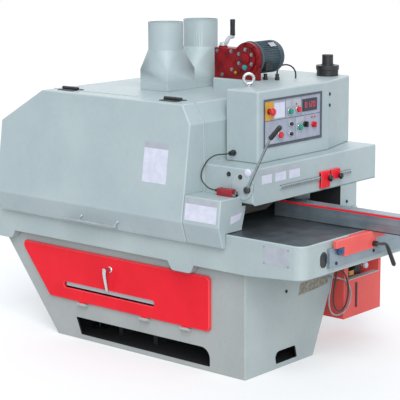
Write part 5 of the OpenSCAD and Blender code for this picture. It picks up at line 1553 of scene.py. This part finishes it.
@dataclass
class OilUnit:
    """Lubrication tank with its pump, sight gauge and fittings."""

    tools: Tools
    front: float = 730.0
    pump_top: float = 484.5
    gauge: Pair = (655.0, 204.0)
    gauge_h: float = 146.0
    ledge_y: Pair = (586.0, 886.0)
    ledge_z: float = 378.0
    pump_z: float = 414.0
    dial: Pair = (684.0, 812.0)
    fitting: Pair = (664.0, 626.0)
    nut: Pair = (660.0, 664.0)
    label_x: float = 698.0
    label_y: Pair = (638.0, 682.0)

    def build(self) -> None:
        """Dress the tank and the pump and make what is on them."""
        softened("lube_tank", CORAL_RED, 3.0, CORAL_EDGE_HIGHLIGHT)
        label = Zone(WHITE_FILM, lambda c, n: c.z > self.pump_top)
        softened("lube_pump", BLACK_NYLON, 2.0, zones=[label], wide=8.0)
        self.sight_gauge()
        self.fittings()

    def sight_gauge(self) -> None:
        """Make the gauge on the tank's front: a frame and its smoked pane."""
        x, (y, z), high = self.front, self.gauge, self.gauge_h
        gauge = Form().block((x, y, z), (x + 5, y + 16, z + high), 2.0, 0)
        gauge.block((x + 3, y + 5, z + 10), (x + 6, y + 11, z + high - 10), 1.0, 1)
        gauge.piece("sight_gauge", "machine", "black_plastic", [BLACK_NYLON, SMOKED])

    def fittings(self) -> None:
        """Make the tank's ledge, the pump's brass fittings, its dial and its label."""
        x, (y0, y1), top, z = self.front, self.ledge_y, self.ledge_z, self.pump_z
        dial_x, dial_y = self.dial
        stem = ((-20, -24), (-12, -12), (-4, 0))
        ledge = Form().block((x - 34, y0, top - 4.5), (x + 2.5, y1, top), 0.8, 0)
        ledge.swept([(dial_x + along, dial_y + aside, z + 1) for along, aside in stem], 7.0, 2)
        ledge.turned([(14, -4), (14, 0), (18, 1), (18, 12), (16, 15), (1, 15.4)],
                     (dial_x, dial_y, z + 1), Axis.X, 1)
        ledge.turned([(13, 0), (13, 12), (9, 15), (9, 26), (12, 28), (12, 36), (4, 38)],
                     (*self.fitting, z), Axis.Z, 2, 24)
        low, high = self.label_y
        ledge.block((self.label_x, low, z - 28), (self.label_x + 1.2, high, z - 2), 0.2, 3)
        ledge.turned([(7, 0), (7, 16), (5, 18)], (*self.nut, z), Axis.Z, 2, 6)
        ledge.piece("pump_fittings", "machine", "panel_plate", [SHEET_WORN_AND_HIGHLIGHTED, WHITE_FILM, BRASS, YELLOW_FILM])


@dataclass
class SawUnit:
    """What works inside: arbor, blades, motor, belt, rollers and carriage."""

    tools: Tools
    roller_z: float = 721.0
    roller_r: float = 60.0
    roller_len: float = 356.0
    rollers: tuple[tuple[str, float], ...] = (("front", 55.0), ("rear", -495.0))

    def build(self) -> None:
        """Coat the inner solids and make the flutes of the feed rollers."""
        coated(BRIGHT_STEEL, "saw_arbor", "saw_blades", "motor_pulley")
        coated(MOTOR_SLATE, "arbor_bearings", "press_carriage")
        coated(BLACK_STEEL, "main_motor")
        coated(BLACK_RUBBER, "drive_belt", "press_roller_front", "press_roller_rear")
        coated(DARK_STEEL, "feed_roller_front", "feed_roller_rear")
        for side, x in self.rollers:
            self.tools.fins.place("feed_flutes_" + side, "feed_" + side + "_body", "bright_steel", DARK_STEEL,
                                  (x, 0, self.roller_z), Axis.Y, count=36, radius=self.roller_r,
                                  size=(1.6, 5, self.roller_len))


@dataclass
class Lead:
    """A free lead: its route in millimetres, radius and finish."""

    name: str
    node: str
    route: tuple[Point, ...]
    radius: float
    finish: Finish
    stiffness: str = "stiff"

    def path(self, steps: int = 8) -> list[Vector]:
        """Give the smooth curve through the route's points.

        Args:
            steps: Points for each stretch.

        Returns:
            Points in millimetres.
        """
        stops = [Vector(p) for p in self.route]
        points = []
        for i in range(len(stops) - 1):
            a, b, c, d = stops[max(i - 1, 0)], stops[i], stops[i + 1], stops[min(i + 2, len(stops) - 1)]
            for k in range(steps):
                t = k / steps
                points.append(0.5 * (2 * b + (c - a) * t + (2 * a - 5 * b + 4 * c - d) * t * t
                                     + (3 * b - a - 3 * c + d) * t * t * t))
        return points + [stops[-1]]

    def build(self) -> None:
        path = self.path()
        tube = Form().swept(path, self.radius)
        piece = tube.piece(self.name, "machine", "cable_rubber", [self.finish], [self.node], 60.0)


LEADS = (
    Lead("interlock_cable", "control_cables",
         ((437, -104, 1153), (437, -116, 1153), (432, -135, 1153), (414, -158, 1152), (394, -184, 1146),
          (379, -218, 1124), (374, -250, 1087), (378, -270, 1051), (394, -276, 1021), (421, -272, 996),
          (450, -267, 985), (474, -266, 984), (494, -266, 984)),
         3.4, BLACK_PVC),
    Lead("lift_motor_cable", "control_cables",
         ((330, 440, 1522), (330, 440, 1532), (331, 443, 1546), (333, 455, 1560), (337, 477, 1568),
          (342, 506, 1569), (347, 540, 1560), (351, 568, 1540), (353, 580, 1514), (353, 580, 1488)),
         4.4, BLACK_PVC),
    Lead("oil_hose_pale", "lube_hoses",
         ((744, 424, 746), (744, 424, 700), (744, 424, 620), (744, 420, 500), (744, 402, 400),
          (744, 384, 320), (744, 388, 262), (744, 420, 218), (744, 472, 202), (744, 528, 208),
          (744, 574, 240), (744, 592, 290), (744, 578, 342), (744, 540, 382), (744, 500, 402),
          (744, 466, 414), (741, 451, 418), (732, 438, 421), (719, 429, 423), (706, 426, 424),
          (700, 426, 424)),
         4.5, PALE_TUBE),
    Lead("oil_hose_black", "lube_hoses",
         ((760, 452, 746), (760, 452, 700), (760, 452, 620), (760, 444, 520), (760, 420, 420),
          (760, 402, 340), (760, 406, 280), (760, 434, 240), (760, 474, 228), (760, 514, 246),
          (760, 538, 292), (760, 542, 350), (760, 526, 402), (760, 502, 436), (757, 485, 452),
          (748, 472, 460), (735, 463, 464), (720, 460, 465), (708, 460, 465), (700, 460, 465)),
         4.5, BLACK_PVC),
)


@dataclass
class Studio:
    """Camera, pale floor, soft lamps and white surroundings."""

    eye: tuple[float, float, float] = (5333.2, -6046.1, 2399.1)
    azimuth: float = 40.674
    elevation: float = 11.0
    roll: float = -0.252
    lens: float = 132.55
    sensor: float = 36.0
    # Far limit of the view and radius of the floor, in metres.
    far: float = 200.0
    floor_radius: float = 30.0
    floor_tone: str = "#cccccc"
    floor_lift: float = 0.43
    sky_tone: str = "#e1ebf8"
    sky_strength: float = 0.6

    def build(self) -> None:
        """Set up everything that is not the machine."""
        scene = bpy.context.scene
        scene.view_settings.view_transform = "Standard"
        self.camera(scene)
        self.floor(scene)
        self.surroundings(scene)
        self.lamp("key", tilt=40, around=45, strength=1.3, spread=32)
        self.lamp("front", tilt=72, around=45, strength=1.1, spread=30)
        self.lamp("back", tilt=50, around=-135, strength=0.6, spread=60)

    def camera(self, scene: bpy.types.Scene) -> None:
        """Stand the camera where the photograph was taken.

        Args:
            scene: Scene that takes it.
        """
        a, e, r = (math.radians(v) for v in (self.azimuth, self.elevation, self.roll))
        back = Vector((math.sin(a) * math.cos(e), -math.cos(a) * math.cos(e), math.sin(e)))
        right = Vector((math.cos(a), math.sin(a), 0))
        up = back.cross(right)
        turned = Matrix((math.cos(r) * right + math.sin(r) * up,
                         math.cos(r) * up - math.sin(r) * right, back))
        data = bpy.data.cameras.new("camera")
        data.lens = self.lens
        data.sensor_width = self.sensor
        data.clip_end = self.far
        camera = bpy.data.objects.new("camera", data)
        camera.matrix_world = Matrix.Translation(Vector(self.eye) * MM) @ turned.transposed().to_4x4()
        scene.collection.objects.link(camera)
        scene.camera = camera

    def floor(self, scene: bpy.types.Scene) -> None:
        """Lay the pale floor; to the camera it is lifted to white, and the shadow stays on it.

        Args:
            scene: Scene that takes it.
        """
        sheet = bmesh.new()
        bmesh.ops.create_circle(sheet, cap_ends=True, radius=self.floor_radius, segments=64)
        mesh = bpy.data.meshes.new("floor")
        sheet.to_mesh(mesh)
        sheet.free()
        floor = bpy.data.objects.new("floor", mesh)
        scene.collection.objects.link(floor)
        material = bpy.data.materials.new("pale_floor")
        material.use_nodes = True
        tree = material.node_tree
        tree.nodes.clear()
        matt = add(tree, "ShaderNodeBsdfDiffuse", {"Color": linear(self.floor_tone)})
        lift = add(tree, "ShaderNodeEmission", {"Color": WHITE, "Strength": self.floor_lift})
        both = add(tree, "ShaderNodeAddShader", {0: matt.outputs[0], 1: lift.outputs[0]})
        mixed = add(tree, "ShaderNodeMixShader",
                    {0: self.shown(tree), 1: matt.outputs[0], 2: both.outputs[0]})
        add(tree, "ShaderNodeOutputMaterial", {"Surface": mixed.outputs[0]})
        mesh.materials.append(material)

    def shown(self, tree: bpy.types.NodeTree) -> bpy.types.NodeSocket:
        """Tell which rays see the background: those from the camera, off metal and through glass.

        Args:
            tree: Tree that takes the nodes.

        Returns:
            A socket that is one for these rays and zero for the others.
        """
        rays = add(tree, "ShaderNodeLightPath").outputs
        seen = rays["Is Camera Ray"]
        for kind in ("Is Glossy Ray", "Is Transmission Ray"):
            seen = add(tree, "ShaderNodeMath", {0: seen, 1: rays[kind]}, operation="MAXIMUM").outputs[0]
        return seen

    def surroundings(self, scene: bpy.types.Scene) -> None:
        """Make the world white where it is seen and a soft grey sky where it lights the machine.

        Args:
            scene: Scene that takes it.
        """
        world = bpy.data.worlds.new("studio")
        world.use_nodes = True
        tree = world.node_tree
        tree.nodes.clear()
        sky = add(tree, "ShaderNodeBackground",
                  {"Color": linear(self.sky_tone), "Strength": self.sky_strength})
        white = add(tree, "ShaderNodeBackground", {"Color": WHITE, "Strength": 1.0})
        mixed = add(tree, "ShaderNodeMixShader",
                    {0: self.shown(tree), 1: sky.outputs[0], 2: white.outputs[0]})
        add(tree, "ShaderNodeOutputWorld", {"Surface": mixed.outputs[0]})
        scene.world = world

    def lamp(self, name: str, tilt: float, around: float, strength: float, spread: float) -> None:
        """Hang a broad soft lamp, far off.

        Args:
            name: Its name.
            tilt: Angle from straight down, in degrees.
            around: Turn about the vertical, in degrees.
            strength: Its strength.
            spread: Angle that it spans, in degrees.
        """
        data = bpy.data.lights.new(name, "SUN")
        data.energy = strength
        data.angle = math.radians(spread)
        lamp = bpy.data.objects.new(name, data)
        turn = Matrix.Rotation(math.radians(around), 4, "Z")
        lamp.matrix_world = turn @ Matrix.Rotation(math.radians(tilt), 4, "X")
        bpy.context.scene.collection.objects.link(lamp)


def main() -> None:
    """Build the studio, the leads and every sub-assembly."""
    logging.basicConfig(level=logging.INFO, format="%(message)s")
    Studio().build()
    for lead in LEADS:
        lead.build()
    tools = Tools(Fasteners(), Fins(), Teeth())
    for unit in (Cabinet, Bed, Enclosure, FrontBeam, ControlStation, TopDrive, DustOutlet, FenceSet, OilUnit,
                 SawUnit):
        unit(tools).build()
        LOG.info("%s is dressed", unit.__name__)


if __name__ == "__main__":
    main()
